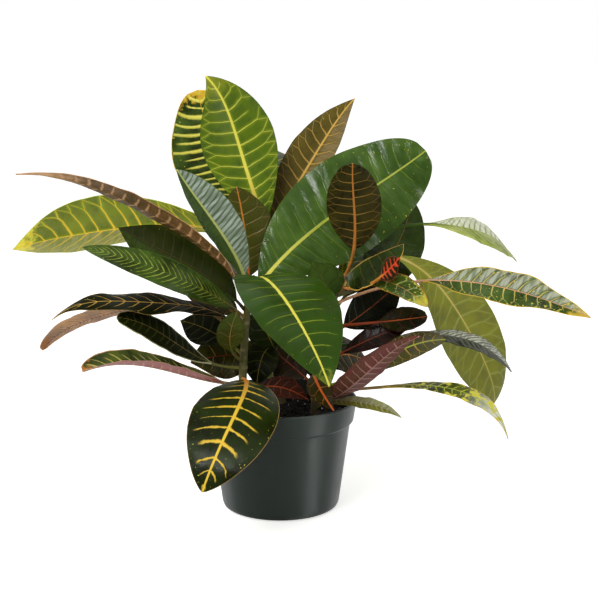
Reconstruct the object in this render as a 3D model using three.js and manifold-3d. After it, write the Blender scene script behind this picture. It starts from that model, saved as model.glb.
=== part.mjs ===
// A croton in a plastic nursery pot. Millimetres, +Z up, origin at the middle of the pot's underside.
// The front of the plant looks towards -Y.
import * as THREE from 'three';
import { mergeVertices } from 'three/addons/utils/BufferGeometryUtils.js';
import Module from 'manifold-3d';

const wasm = await Module();
wasm.setup();

// Driving dimensions of the pot.
const POT_HEIGHT = 112;
const RIM_RADIUS = 77.5;
const RIM_FOOT_RADIUS = 74.2;
const RIM_BAND_HEIGHT = 22;
const WALL_TOP_RADIUS = 71;
const STEP_HEIGHT = 2;
const FOOT_RADIUS = 60;
const FOOT_FLAT_RADIUS = 54.5;
const FOOT_ROUND_HEIGHT = 5;
const WALL = 1.8;
const FLOOR = 2.4;
const DRAIN_HOLES = 8;
const DRAIN_HOLE_RADIUS = 4;
const DRAIN_CIRCLE_RADIUS = 44;
const DRAIN_HOLE_SIDES = 10;
const POT_SIDES = 40;
const BAND_FOOT = POT_HEIGHT - RIM_BAND_HEIGHT;

// Driving dimensions of the soil and the stems.
const GAP = 0.35;
const SOIL_TOP = 95;
const SOIL_LUMP = 1.6;
const STEM_BOTTOM = 55;
const STEM_SIDES = 10;
const STEM_RADIUS = 4.4;
const STEM_TOP_RADIUS = 3.2;
const LEAF_SCARS_FROM = SOIL_TOP + 8;
const LEAF_SCAR_SPACING = 18;
const LEAF_SCAR_HEIGHT = 0.35;
const LEAST_CROWN_LENGTH = 4;
const YOUNG_LEAF_WIDTH = 9;
const YOUNG_LEAF_STALK = 4;
const YOUNG_LEAF_DEPTH = 3;

// Driving dimensions that all leaves share. A stalk is round until the leaf is FLAT_HALF_WIDTH wide
// on each side. The keel is the midrib under the blade, and it is KEEL_TAPER lower at the tip.
const BLADE_THICKNESS = 0.8;
const KEEL = 1.3;
const KEEL_TAPER = 0.7;
const STALK_RADIUS = 1.5;
const STALK_TOP = 0.7;
const STALK_UNDER = 0.5;
const FLAT_HALF_WIDTH = 7.5;
const WAVES = 3;
const WAVE_OFFSET = 0.4;
const STALK_STEPS = 2;
const BLADE_STEP_LENGTH = 17;
const FEWEST_BLADE_STEPS = 6;
const MOST_BLADE_STEPS = 10;
const TIP_HALF_WIDTH = 0.5;
const ACROSS = [-1, -0.5, 0, 0.5, 1];

// Each stem stands upright in the soil and leans by the square of its height. Crown is its top.
const STEMS = {
  front: { foot: [-38, -22], lean: [8, 7], crown: 228 },
  right: { foot: [35, -5], lean: [27, 10], crown: 236 },
  back: { foot: [0, 35], lean: [-20, 3], crown: 262 },
};

const LOOKS = {
  lemon: { color: 0x3a6a1c, roughness: 0.38 },
  golden: { color: 0x2c5018, roughness: 0.4 },
  olive: { color: 0x5c5220, roughness: 0.42 },
  bronze: { color: 0x43300f, roughness: 0.42 },
  dark: { color: 0x1d2a12, roughness: 0.34 },
  rose: { color: 0x7d4a46, roughness: 0.55 },
  pale: { color: 0x7d8434, roughness: 0.5 },
  red: { color: 0x4a2214, roughness: 0.45 },
};

// One row a leaf: stem, height on it, points along the midrib, tip, the way its upper face looks,
// full width and look. The rest is shape: stalk length, fold (rise of the halves), curl (fall of the
// margins), wave height, fullest (under 1 is fullest near the base), and base and point (smaller is
// blunter).
const LEAVES = {
  top_green_leaf: {
    stem: 'back', at: 246, via: [[-22, 18, 303], [-40, 32, 359], [-55, 32, 404]], tip: [-74, 26, 433],
    faces: [0.3, -1, 0.1], width: 77, look: 'lemon', stalk: 40, fold: 0.2, curl: 0.12, fullest: 1.15,
    base: 0.8, point: 1.0,
  },
  top_back_golden_leaf: {
    stem: 'back', at: 239, via: [[-42, 56, 309], [-71, 71, 369]], tip: [-86, 77, 418],
    faces: [-0.35, -1, 0.1], width: 100, look: 'golden', stalk: 34, fold: 0.2, curl: 0.1,
    fullest: 1.4, base: 2.8, point: 0.5,
  },
  upper_left_folded_leaf: {
    stem: 'front', at: 222, via: [[-42, -40, 261], [-66, -58, 304]], tip: [-94, -76, 349],
    faces: [1, -0.85, 0.25], width: 46, look: 'dark', stalk: 14, fold: 0.45, curl: 0, fullest: 1.1,
    base: 0.8, point: 0.7,
  },
  upper_middle_olive_leaf: {
    stem: 'front', at: 226, via: [[-35, 4, 280]], tip: [-43, 6, 325],
    faces: [0, -1, 0.15], width: 58, look: 'olive', stalk: 12, fold: 0.12, curl: 0.1, fullest: 1.0,
    point: 0.75,
  },
  upper_right_olive_leaf: {
    stem: 'back', at: 252, via: [[2, 46, 295], [26, 60, 337], [57, 76, 385]], tip: [77, 88, 409],
    faces: [-0.5, -1, 0.1], width: 50, look: 'olive', stalk: 20, fold: 0.45, curl: 0,
  },
  great_right_leaf: {
    stem: 'front', at: 221, via: [[20, -2, 272], [65, 12, 305]], tip: [146, 29, 359],
    faces: [-0.1, -1, 0.15], width: 99, look: 'lemon', stalk: 10, fold: 0.08, curl: 0.1, wave: 2.5,
    fullest: 1.15, point: 0.42,
  },
  bronze_round_leaf: {
    stem: 'right', at: 234, via: [[73, -22, 276], [71, -38, 317]], tip: [69, -56, 353],
    faces: [0, -1, 0.1], width: 53, look: 'bronze', stalk: 38, fold: 0.06, curl: 0.15, base: 0.65,
    point: 0.5,
  },
  far_right_dark_leaf: {
    stem: 'right', at: 216, via: [[105, 44, 239], [127, 68, 270]], tip: [138, 92, 304],
    faces: [0.1, -1, 0.1], width: 60, look: 'dark', stalk: 30, fold: 0.1, curl: 0.1, point: 0.7,
  },
  level_pale_leaf: {
    stem: 'right', at: 234, via: [[108, 16, 281], [162, 34, 284], [217, 54, 269]], tip: [243, 70, 245],
    faces: [0.05, -0.5, 1], width: 66, look: 'golden', stalk: 106, fold: 0.1, curl: 0.1,
    fullest: 2.0, point: 0.4,
  },
  long_right_leaf: {
    stem: 'right', at: 209, via: [[139, -4, 232], [195, -34, 235], [243, -66, 228]], tip: [290, -92, 213],
    faces: [0.1, -0.65, 0.8], width: 44, look: 'golden', stalk: 88, fold: 0.12, curl: 0, wave: 2,
    fullest: 0.92, base: 1.3, point: 0.85,
  },
  hanging_pale_leaf: {
    stem: 'right', at: 223, via: [[119, 20, 252], [157, 34, 226], [196, 48, 171], [222, 60, 118]],
    tip: [229, 70, 86],
    faces: [0.35, -0.9, 0.3], width: 77, look: 'pale', stalk: 60, fold: 0.1, curl: 0.1,
    fullest: 1.45, base: 1.0, point: 0.5,
  },
  glossy_dark_right_leaf: {
    stem: 'right', at: 166, via: [[121, 4, 173], [184, -13, 175]], tip: [228, -36, 147],
    faces: [0.1, -0.35, 0.9], width: 28, look: 'dark', stalk: 54, fold: 0.1, curl: 0.1, fullest: 1.5,
  },
  low_right_variegated_leaf: {
    stem: 'right', at: 120, via: [[100, -14, 126], [157, -40, 133], [193, -64, 126]], tip: [218, -86, 94],
    faces: [0.1, -0.35, 0.95], width: 25, look: 'golden', stalk: 60, fold: 0.1, curl: 0.1,
    fullest: 1.3, point: 1.5,
  },
  front_green_leaf: {
    stem: 'front', at: 224, via: [[-17, -56, 245], [10, -100, 225]], tip: [46, -142, 160],
    faces: [0.65, -1, 0.2], width: 100, look: 'lemon', stalk: 30, fold: 0.26, curl: 0.12,
    fullest: 0.82, base: 0.85, point: 0.9,
  },
  hanging_front_leaf: {
    stem: 'front', at: 138, via: [[-32, -62, 140], [-47, -126, 114]], tip: [-69, -152, 64],
    faces: [-0.1, -0.9, 0.5], width: 81, look: 'golden', stalk: 14, fold: 0.1, curl: 0.12, point: 0.75,
  },
  low_left_rose_edged_leaf: {
    stem: 'front', at: 132, via: [[-74, -40, 141], [-123, -76, 163]], tip: [-179, -122, 169],
    faces: [0, -0.12, 1], width: 38, look: 'golden', stalk: 12, fold: 0.5, curl: 0, fullest: 1.2,
    base: 0.5, point: 0.4,
  },
  low_left_dark_leaf: {
    stem: 'front', at: 148, via: [[-67, -26, 153], [-112, -40, 184]], tip: [-157, -52, 205],
    faces: [0, -0.6, 0.75], width: 31, look: 'dark', stalk: 26, fold: 0.1, curl: 0.1, fullest: 1.3,
    point: 0.4,
  },
  left_ribbed_rose_leaf: {
    stem: 'front', at: 174, via: [[-116, 6, 208], [-164, 24, 197], [-218, 44, 177]], tip: [-252, 54, 148],
    faces: [0, 0.56, 0.83], width: 28, look: 'rose', stalk: 70, fold: 0.1, curl: 0, fullest: 1.3,
    point: 0.35,
  },
  left_orange_veined_leaf: {
    stem: 'front', at: 186, via: [[-83, -24, 210], [-128, -38, 217], [-169, -48, 220]],
    tip: [-217, -62, 205],
    faces: [0, -0.42, 0.9], width: 33, look: 'dark', stalk: 20, fold: 0.1, curl: 0.15, wave: 2,
    fullest: 1.0, base: 0.5, point: 1.2,
  },
  great_left_leaf: {
    stem: 'back', at: 240, via: [[-77, 28, 281], [-145, 48, 280], [-220, 62, 268]], tip: [-283, 74, 252],
    faces: [-0.05, -0.66, 0.8], width: 78, look: 'lemon', stalk: 44, fold: 0.38, curl: 0,
    fullest: 1.5, point: 1,
  },
  rising_left_rose_leaf: {
    stem: 'front', at: 216, via: [[-67, -48, 270], [-121, -66, 309], [-177, -90, 338]],
    tip: [-235, -110, 348],
    faces: [0.3, 0.5, 0.8], width: 36, look: 'rose', stalk: 30, fold: 0.1, curl: 0,
  },
  left_dark_striped_leaf: {
    stem: 'front', at: 200, via: [[-62, -52, 226], [-121, -76, 259]], tip: [-184, -70, 276],
    faces: [0, -0.85, 0.55], width: 29, look: 'golden', stalk: 18, fold: 0.1, curl: 0.1, point: 0.7,
  },
  left_bronze_leaf: {
    stem: 'front', at: 208, via: [[-70, -36, 242], [-108, -46, 267]], tip: [-152, -58, 293],
    faces: [0.1, -0.9, 0.4], width: 58, look: 'bronze', stalk: 12, fold: 0.1, curl: 0.1,
  },
  rose_backed_leaf: {
    stem: 'right', at: 112, via: [[60, -36, 126], [91, -54, 158]], tip: [132, -80, 193],
    faces: [-0.5, 0.8, 0.3], width: 40, look: 'rose', stalk: 18, fold: 0.1, curl: 0, fullest: 0.8,
    base: 0.7, point: 0.9,
  },
  small_right_olive_leaf: {
    stem: 'right', at: 124, via: [[80, -18, 142], [117, -28, 166]], tip: [162, -38, 180],
    faces: [0.2, -0.8, 0.5], width: 27, look: 'olive', stalk: 36, fold: 0.1, curl: 0,
    fullest: 1.3, point: 0.6,
  },
  rim_olive_leaf: {
    stem: 'right', at: 103, via: [[60, -42, 119], [86, -60, 121]], tip: [116, -86, 115],
    faces: [0, -0.5, 0.85], width: 17, look: 'olive', stalk: 22, fold: 0.1, curl: 0,
  },
  orange_ribbed_small_leaf: {
    stem: 'right', at: 142, via: [[34, -40, 144]], tip: [52, -80, 120],
    faces: [-0.4, -0.6, 0.7], width: 24, look: 'red', stalk: 24, fold: 0.2, curl: 0,
  },
  soil_red_leaf: {
    stem: 'front', at: 122, via: [[-8, -42, 134]], tip: [28, -60, 125],
    faces: [0.1, -0.7, 0.75], width: 26, look: 'red', stalk: 14, fold: 0.15, curl: 0,
  },
  middle_right_drooping_leaf: {
    stem: 'right', at: 230, via: [[82, -34, 257]], tip: [119, -42, 275],
    faces: [0, -0.3, 1], width: 50, look: 'dark', stalk: 14, fold: -0.8, curl: 0, point: 0.6,
  },
  middle_right_veined_leaf: {
    stem: 'right', at: 221, via: [[105, -50, 239]], tip: [140, -74, 220],
    faces: [0.1, -0.6, 0.8], width: 30, look: 'golden', stalk: 20, fold: 0.15, curl: 0,
    fullest: 1.3, point: 0.6,
  },
  inner_right_black_leaf: {
    stem: 'right', at: 176, via: [[90, 8, 202]], tip: [121, 6, 231],
    faces: [0, -1, 0.2], width: 42, look: 'dark', stalk: 18, fold: 0.1, curl: 0.1,
  },
  inner_right_maroon_leaf: {
    stem: 'right', at: 148, via: [[92, -5, 174]], tip: [136, -7, 192],
    faces: [0, -0.8, 0.6], width: 25, look: 'red', stalk: 22, fold: 0.1, curl: 0,
  },
  small_red_ribbed_leaf: {
    stem: 'right', at: 186, via: [[108, -12, 193]], tip: [146, -18, 199],
    faces: [0, -0.8, 0.6], width: 27, look: 'red', stalk: 48, fold: 0.1, curl: 0, point: 0.45,
  },
  inner_left_hooked_leaf: {
    stem: 'front', at: 156, via: [[-48, -42, 174]], tip: [-40, -50, 212],
    faces: [0.1, -1, 0.2], width: 28, look: 'dark', stalk: 20, fold: 0.15, curl: 0,
  },
  inner_left_dark_leaf: {
    stem: 'front', at: 162, via: [[-72, 12, 178]], tip: [-104, 34, 184],
    faces: [-0.1, -0.8, 0.6], width: 40, look: 'dark', stalk: 18, fold: 0.1, curl: 0,
  },
  middle_dark_leaf: {
    stem: 'right', at: 206, via: [[46, -16, 228]], tip: [32, -24, 254],
    faces: [0, -1, 0.1], width: 40, look: 'dark', stalk: 10, fold: 0.1, curl: 0,
  },
  inner_middle_dark_leaf: {
    stem: 'back', at: 156, via: [[-14, 14, 158]], tip: [-24, 0, 124],
    faces: [-0.2, -0.9, 0.3], width: 36, look: 'dark', stalk: 8, fold: 0.1, curl: 0,
  },
  inner_left_brown_leaf: {
    stem: 'front', at: 194, via: [[-68, 2, 214]], tip: [-106, 6, 228],
    faces: [0, -0.8, 0.6], width: 30, look: 'bronze', stalk: 10, fold: 0.1, curl: 0, base: 0.5,
  },
  back_hanging_left_leaf: {
    stem: 'back', at: 158, via: [[-52, 92, 176]], tip: [-84, 160, 120],
    faces: [-0.3, 0.6, 0.8], width: 52, look: 'lemon', stalk: 30,
  },
  back_hanging_right_leaf: {
    stem: 'right', at: 158, via: [[44, 84, 176]], tip: [40, 150, 116],
    faces: [0.2, 0.6, 0.8], width: 44, look: 'bronze', stalk: 30,
  },
  back_hanging_middle_leaf: {
    stem: 'back', at: 136, via: [[-12, 94, 146]], tip: [-20, 132, 82],
    faces: [0, 0.9, 0.4], width: 56, look: 'golden', stalk: 26,
  },
  back_top_leaf: {
    stem: 'back', at: 256, via: [[-8, 94, 318]], tip: [-14, 166, 352],
    faces: [0, 0.7, 0.7], width: 50, look: 'golden', stalk: 28,
  },
  back_upper_left_leaf: {
    stem: 'back', at: 230, via: [[-76, 108, 274]], tip: [-140, 190, 258],
    faces: [-0.2, 0.3, 0.9], width: 58, look: 'lemon', stalk: 36, wave: 1.5,
  },
  back_middle_leaf: {
    stem: 'back', at: 222, via: [[-8, 128, 276]], tip: [4, 232, 238],
    faces: [0, 0.35, 0.9], width: 64, look: 'golden', stalk: 38,
  },
  back_upper_right_leaf: {
    stem: 'back', at: 228, via: [[48, 112, 290]], tip: [104, 198, 288],
    faces: [0.2, 0.4, 0.9], width: 60, look: 'olive', stalk: 38,
  },
  back_lower_left_leaf: {
    stem: 'back', at: 196, via: [[-66, 98, 232]], tip: [-124, 176, 208],
    faces: [-0.2, 0.2, 0.95], width: 50, look: 'dark', stalk: 32,
  },
  back_lower_right_leaf: {
    stem: 'right', at: 192, via: [[98, 92, 228]], tip: [146, 176, 216],
    faces: [0.2, 0.2, 0.95], width: 54, look: 'golden', stalk: 36,
  },
  back_lower_middle_leaf: {
    stem: 'back', at: 168, via: [[4, 106, 198]], tip: [22, 200, 150],
    faces: [0, 0.3, 0.95], width: 54, look: 'olive', stalk: 32,
  },
  back_low_left_leaf: {
    stem: 'back', at: 140, via: [[-48, 40, 146]], tip: [-94, 30, 140],
    faces: [0, -0.9, 0.4], width: 50, look: 'red', stalk: 14,
  },
  back_low_right_leaf: {
    stem: 'right', at: 136, via: [[62, 32, 148]], tip: [92, 54, 134],
    faces: [0, -0.9, 0.4], width: 42, look: 'bronze', stalk: 12,
  },
  back_lowest_leaf: {
    stem: 'back', at: 126, via: [[24, 50, 140]], tip: [54, 62, 124],
    faces: [0, -0.9, 0.4], width: 44, look: 'dark', stalk: 10,
  },
  back_crown_leaf: {
    stem: 'back', at: 260, via: [[8, 70, 308]], tip: [26, 110, 352],
    faces: [0.1, 0.8, 0.5], width: 40, look: 'bronze', stalk: 20,
  },
  back_right_crown_leaf: {
    stem: 'right', at: 213, via: [[84, 76, 262]], tip: [112, 142, 290],
    faces: [0.3, 0.6, 0.7], width: 50, look: 'lemon', stalk: 34,
  },
};

// Small young leaves that grow out of each crown, as directions from its top.
const YOUNG_LEAVES = {
  front: [[-3, -3, 20], [4, 2, 15]],
  right: [[1, 6, 17], [5, 2, 12]],
  back: [[2, 6, 22], [6, 2, 16]],
};

const UP = new THREE.Vector3(0, 0, 1);
const vector = (values) => new THREE.Vector3(...values);

function closedGeometry(positions, triangles) {
  const geometry = new THREE.BufferGeometry();
  geometry.setAttribute('position', new THREE.Float32BufferAttribute(positions, 3));
  geometry.setIndex(triangles);
  return geometry;
}

// A closed skin over rings of equally many points, each ring running anticlockwise seen from the last one.
function loft(rings) {
  const count = rings[0].length;
  const triangles = [];
  for (let i = 0; i < rings.length - 1; i++) {
    for (let j = 0; j < count; j++) {
      const a = i * count + j;
      const b = i * count + (j + 1) % count;
      triangles.push(a, b, b + count, a, b + count, a + count);
    }
  }
  const last = (rings.length - 1) * count;
  for (let j = 1; j < count - 1; j++) {
    triangles.push(0, j + 1, j, last, last + j, last + j + 1);
  }
  return closedGeometry(rings.flat().flatMap((point) => point.toArray()), triangles);
}

function toSolid(geometry) {
  const bare = geometry.clone();
  bare.deleteAttribute('normal');
  bare.deleteAttribute('uv');
  const merged = mergeVertices(bare, 1e-4);
  return new wasm.Manifold(new wasm.Mesh({
    numProp: 3,
    vertProperties: new Float32Array(merged.attributes.position.array),
    triVerts: new Uint32Array(merged.index.array),
  }));
}

function toGeometry(solid) {
  const mesh = solid.getMesh();
  return closedGeometry(Array.from(mesh.vertProperties), Array.from(mesh.triVerts));
}

function stemCentre(stem, height) {
  const { foot, lean, crown } = STEMS[stem];
  const rise = Math.max(0, (height - SOIL_TOP) / (crown - SOIL_TOP));
  return new THREE.Vector3(foot[0] + lean[0] * rise ** 2, foot[1] + lean[1] * rise ** 2, height);
}

function stemRadius(stem, height) {
  const rise = Math.max(0, (height - SOIL_TOP) / (STEMS[stem].crown - SOIL_TOP));
  return THREE.MathUtils.lerp(STEM_RADIUS, STEM_TOP_RADIUS, rise);
}

// The curve through a leaf's points. It meets each at its share of the straight lines between them.
class Midrib extends THREE.Curve {
  constructor(points) {
    super();
    this.points = points;
    this.knots = [0];
    for (let i = 1; i < points.length; i++) {
      this.knots.push(this.knots[i - 1] + points[i].distanceTo(points[i - 1]));
    }
    this.knots = this.knots.map((knot) => knot / this.knots.at(-1));
  }

  getPoint(t, target = new THREE.Vector3()) {
    target.set(0, 0, 0);
    this.points.forEach((point, i) => {
      let weight = 1;
      this.knots.forEach((knot, j) => {
        if (j !== i) weight *= (t - knot) / (this.knots[i] - knot);
      });
      target.addScaledVector(point, weight);
    });
    return target;
  }
}

function leafRings(points, leaf) {
  const { faces, width, stalk = 20, fold = 0.1, curl = 0.1, wave = 0 } = leaf;
  const { fullest = 1, base = 0.7, point = 1 } = leaf;
  const curve = new Midrib(points);
  const length = curve.getLength();
  const chord = points.at(-1).clone().sub(points[0]).normalize();
  const firstSide = chord.clone().cross(vector(faces)).normalize();
  const stations = [];
  for (let i = 0; i < STALK_STEPS; i++) stations.push([i / STALK_STEPS * stalk / length, 0]);
  const wanted = Math.round((length - stalk) / BLADE_STEP_LENGTH);
  const steps = THREE.MathUtils.clamp(wanted, FEWEST_BLADE_STEPS, MOST_BLADE_STEPS);
  for (let i = 0; i <= steps; i++) {
    const along = i / steps;
    stations.push([(stalk + along * (length - stalk)) / length, along]);
  }
  return stations.map(([share, along]) => {
    const middle = curve.getPointAt(share);
    const run = curve.getTangentAt(share);
    const side = firstSide.clone().addScaledVector(run, -firstSide.dot(run)).normalize();
    const up = side.clone().cross(run).normalize();
    const swell = Math.sin(Math.PI * along ** fullest) ** THREE.MathUtils.lerp(base, point, along);
    const least = along > 0.5 ? TIP_HALF_WIDTH : STALK_RADIUS;
    const half = Math.max(least, width / 2 * swell);
    const flat = THREE.MathUtils.mapLinear(half, STALK_RADIUS, FLAT_HALF_WIDTH, 0, 1);
    const blade = along > 0 ? THREE.MathUtils.clamp(flat, 0, 1) : 0;
    const heightAt = (u) => {
      const turn = WAVES * along + (u < 0 ? WAVE_OFFSET : 0);
      const ripple = wave * Math.sin(2 * Math.PI * turn) * Math.abs(u) ** 1.5;
      return half * (fold * Math.abs(u) - curl * u * u) * blade + ripple * swell;
    };
    const round = (u) => (1 - blade) * (1 - u * u);
    const keel = (u) => KEEL * (1 - Math.abs(u)) ** 2 * (1 - KEEL_TAPER * along);
    const depth = (u) => BLADE_THICKNESS + STALK_UNDER * round(u) + keel(u);
    const place = (u, lift) => middle.clone().addScaledVector(side, half * u).addScaledVector(up, lift);
    const top = ACROSS.map((u) => place(u, heightAt(u) + STALK_TOP * round(u)));
    const under = ACROSS.map((u) => place(u, heightAt(u) - depth(u)));
    return [...top, ...under.reverse()];
  });
}

// How far a point lies from the round of its leaf's stem.
function clearance(point, stem) {
  const centre = stemCentre(stem, point.z);
  return Math.hypot(point.x - centre.x, point.y - centre.y) - stemRadius(stem, point.z) - LEAF_SCAR_HEIGHT;
}

// A leaf starts beside its stem, on the side that it grows towards, and is then seated: its stalk
// is moved along that line until its nearest corner stands off the stem by the gap.
function leafGeometry(leaf) {
  const centre = stemCentre(leaf.stem, leaf.at);
  const outward = vector(leaf.via[0]).sub(centre).setZ(0).normalize();
  const ringsFrom = (reach) => {
    const start = centre.clone().addScaledVector(outward, reach);
    return leafRings([start, ...leaf.via.map(vector), vector(leaf.tip)], leaf);
  };
  const reach = stemRadius(leaf.stem, leaf.at) + LEAF_SCAR_HEIGHT + STALK_RADIUS;
  const nearStem = ringsFrom(reach).slice(0, STALK_STEPS + 1).flat();
  const nearest = Math.min(...nearStem.map((point) => clearance(point, leaf.stem)));
  return loft(ringsFrom(reach + GAP - nearest));
}

function stemGeometry(stem) {
  const { crown } = STEMS[stem];
  const heights = [STEM_BOTTOM];
  for (let height = LEAF_SCARS_FROM; height < crown - LEAST_CROWN_LENGTH; height += LEAF_SCAR_SPACING / 2) {
    heights.push(height);
  }
  heights.push(crown);
  const rings = heights.map((height, i) => {
    const scar = height < crown && i > 0 && i % 2 === 0 ? LEAF_SCAR_HEIGHT : 0;
    const radius = stemRadius(stem, height) + scar;
    return Array.from({ length: STEM_SIDES }, (_, j) => {
      const spoke = new THREE.Vector3(radius, 0, 0);
      return spoke.applyAxisAngle(UP, j / STEM_SIDES * 2 * Math.PI).add(stemCentre(stem, height));
    });
  });
  let solid = toSolid(loft(rings));
  const root = stemCentre(stem, crown - YOUNG_LEAF_DEPTH);
  for (const growth of YOUNG_LEAVES[stem]) {
    const tip = root.clone().add(vector(growth));
    const bend = new THREE.Vector3(growth[0], growth[1], 0).divideScalar(6);
    const middle = root.clone().lerp(tip, 0.5).add(bend);
    const faces = [-growth[0], -growth[1], 3];
    const shape = { faces, width: YOUNG_LEAF_WIDTH, stalk: YOUNG_LEAF_STALK };
    solid = solid.add(toSolid(loft(leafRings([root, middle, tip], shape))));
  }
  return toGeometry(solid);
}

// Soil surface: low lumps that die out towards the wall.
function soilRise(x, y) {
  const lumps = Math.sin(x / 7 + 1) * Math.cos(y / 6) + 0.6 * Math.sin(x / 3.5 - y / 4.5);
  return SOIL_LUMP * lumps * Math.max(0, 1 - Math.hypot(x, y) / WALL_TOP_RADIUS);
}

function potGeometry() {
  const lip = WALL / 2;
  const profile = new THREE.Path();
  profile.moveTo(0, 0);
  profile.lineTo(FOOT_FLAT_RADIUS, 0);
  profile.quadraticCurveTo(FOOT_RADIUS, 0, FOOT_RADIUS, FOOT_ROUND_HEIGHT);
  profile.lineTo(WALL_TOP_RADIUS, BAND_FOOT - STEP_HEIGHT);
  profile.lineTo(RIM_FOOT_RADIUS, BAND_FOOT);
  profile.lineTo(RIM_RADIUS, POT_HEIGHT - lip);
  profile.lineTo(RIM_RADIUS - lip / 2, POT_HEIGHT);
  profile.lineTo(RIM_RADIUS - WALL - lip / 2, POT_HEIGHT);
  profile.lineTo(RIM_FOOT_RADIUS - WALL, BAND_FOOT + WALL);
  profile.lineTo(WALL_TOP_RADIUS - WALL, BAND_FOOT + WALL - STEP_HEIGHT);
  profile.lineTo(FOOT_RADIUS - WALL, FOOT_ROUND_HEIGHT);
  profile.lineTo(FOOT_FLAT_RADIUS, FLOOR);
  profile.lineTo(0, FLOOR);
  let solid = toSolid(turned(profile.getPoints(5), POT_SIDES));
  for (let i = 0; i < DRAIN_HOLES; i++) {
    const drill = upright(DRAIN_HOLE_RADIUS, -FLOOR, 2 * FLOOR, DRAIN_HOLE_SIDES);
    drill.translate(DRAIN_CIRCLE_RADIUS, 0, 0);
    drill.rotateZ((i + 0.5) / DRAIN_HOLES * 2 * Math.PI);
    solid = solid.subtract(toSolid(drill));
  }
  return toGeometry(solid);
}

// A solid about the Z axis, from points of radius and height that run up its outside.
function turned(points, sides) {
  return new THREE.LatheGeometry(points, sides).rotateX(Math.PI / 2);
}

// An upright round bar about the Z axis.
function upright(radius, bottom, top, sides) {
  const bar = new THREE.CylinderGeometry(radius, radius, top - bottom, sides).rotateX(Math.PI / 2);
  return bar.translate(0, 0, (bottom + top) / 2);
}

// The soil fills the pot to SOIL_TOP and stands off its wall by the gap. Each stem stands in a plain hole.
function soilGeometry() {
  const slack = WALL + GAP;
  const profile = [
    [0, FLOOR + GAP],
    [FOOT_FLAT_RADIUS - 1, FLOOR + GAP],
    [FOOT_RADIUS - slack, FOOT_ROUND_HEIGHT + 1],
    [WALL_TOP_RADIUS - slack, BAND_FOOT + WALL - STEP_HEIGHT],
    [RIM_FOOT_RADIUS - slack, SOIL_TOP - 1],
    [60, SOIL_TOP],
    [46, SOIL_TOP],
    [32, SOIL_TOP + 0.5],
    [16, SOIL_TOP + 1],
    [0, SOIL_TOP + 1],
  ];
  const geometry = turned(profile.map(([radius, height]) => new THREE.Vector2(radius, height)), POT_SIDES);
  const position = geometry.attributes.position;
  for (let i = 0; i < position.count; i++) {
    const height = position.getZ(i);
    if (height >= SOIL_TOP) position.setZ(i, height + soilRise(position.getX(i), position.getY(i)));
  }
  let solid = toSolid(geometry);
  const radius = (STEM_RADIUS + GAP) / Math.cos(Math.PI / STEM_SIDES);
  for (const { foot } of Object.values(STEMS)) {
    const hole = upright(radius, STEM_BOTTOM - GAP, POT_HEIGHT, STEM_SIDES).translate(foot[0], foot[1], 0);
    solid = solid.subtract(toSolid(hole));
  }
  return toGeometry(solid);
}

const plant = new THREE.Group();

function addMesh(name, geometry, material) {
  geometry.computeVertexNormals();
  const mesh = new THREE.Mesh(geometry, new THREE.MeshStandardMaterial({ metalness: 0, ...material }));
  mesh.name = name;
  plant.add(mesh);
}

addMesh('pot', potGeometry(), { color: 0x2f3634, roughness: 0.5 });
addMesh('soil', soilGeometry(), { color: 0x17120e, roughness: 0.95 });
for (const stem of Object.keys(STEMS)) {
  addMesh(`${stem}_stem`, stemGeometry(stem), { color: 0x5c5a33, roughness: 0.8 });
}
for (const [name, leaf] of Object.entries(LEAVES)) {
  addMesh(name, leafGeometry(leaf), LOOKS[leaf.look]);
}

export default plant;
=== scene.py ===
"""A potted croton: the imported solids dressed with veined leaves, bark, potting mix and a moulded pot.

Blender works in metres. The tables and settings below are in millimetres unless they say otherwise.
The front of the plant looks towards -Y.
"""

import math

import bpy
import numpy as np
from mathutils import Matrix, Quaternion, Vector, noise


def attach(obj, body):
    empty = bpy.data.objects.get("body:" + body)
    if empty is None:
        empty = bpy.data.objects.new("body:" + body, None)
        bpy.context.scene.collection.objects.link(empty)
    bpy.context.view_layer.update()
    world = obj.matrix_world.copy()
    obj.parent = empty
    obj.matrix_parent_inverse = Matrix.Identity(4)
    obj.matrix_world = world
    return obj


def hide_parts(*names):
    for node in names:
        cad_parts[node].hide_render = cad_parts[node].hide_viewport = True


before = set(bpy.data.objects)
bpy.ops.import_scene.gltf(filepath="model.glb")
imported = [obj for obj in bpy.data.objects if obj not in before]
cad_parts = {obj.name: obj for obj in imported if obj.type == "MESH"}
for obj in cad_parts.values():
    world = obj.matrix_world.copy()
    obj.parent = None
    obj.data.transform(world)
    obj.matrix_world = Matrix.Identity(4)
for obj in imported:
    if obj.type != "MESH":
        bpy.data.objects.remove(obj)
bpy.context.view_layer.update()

bl_info = {
    "name": "Potted Croton",
    "version": (1, 0, 0),
    "blender": (4, 5, 0),
    "location": "View3D > Sidebar > Croton",
    "description": "Dresses a potted croton with veined leaves, stems, potting mix and a nursery pot",
    "category": "Add Mesh",
}

MM = 0.001

# Heights and radii that the pieces share with the solids under them.
POT_HEIGHT = 112
RIM_RADIUS = 77.5
RIM_FOOT_RADIUS = 74.2
RIM_BAND_HEIGHT = 22
BAND_FOOT = POT_HEIGHT - RIM_BAND_HEIGHT
WALL_TOP_RADIUS = 71
STEP_HEIGHT = 2
FOOT_RADIUS = 60
FOOT_FLAT_RADIUS = 54.5
FOOT_ROUND_HEIGHT = 5
POT_WALL = 1.8
POT_FLOOR = 2.4
DRAIN_HOLES = 8
DRAIN_HOLE_RADIUS = 4
DRAIN_CIRCLE_RADIUS = 44
SOIL_TOP = 95
STEM_RADIUS = 4.4
STEM_TOP_RADIUS = 3.2
STALK_RADIUS = 1.5
FLAT_HALF_WIDTH = 7.5

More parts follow.
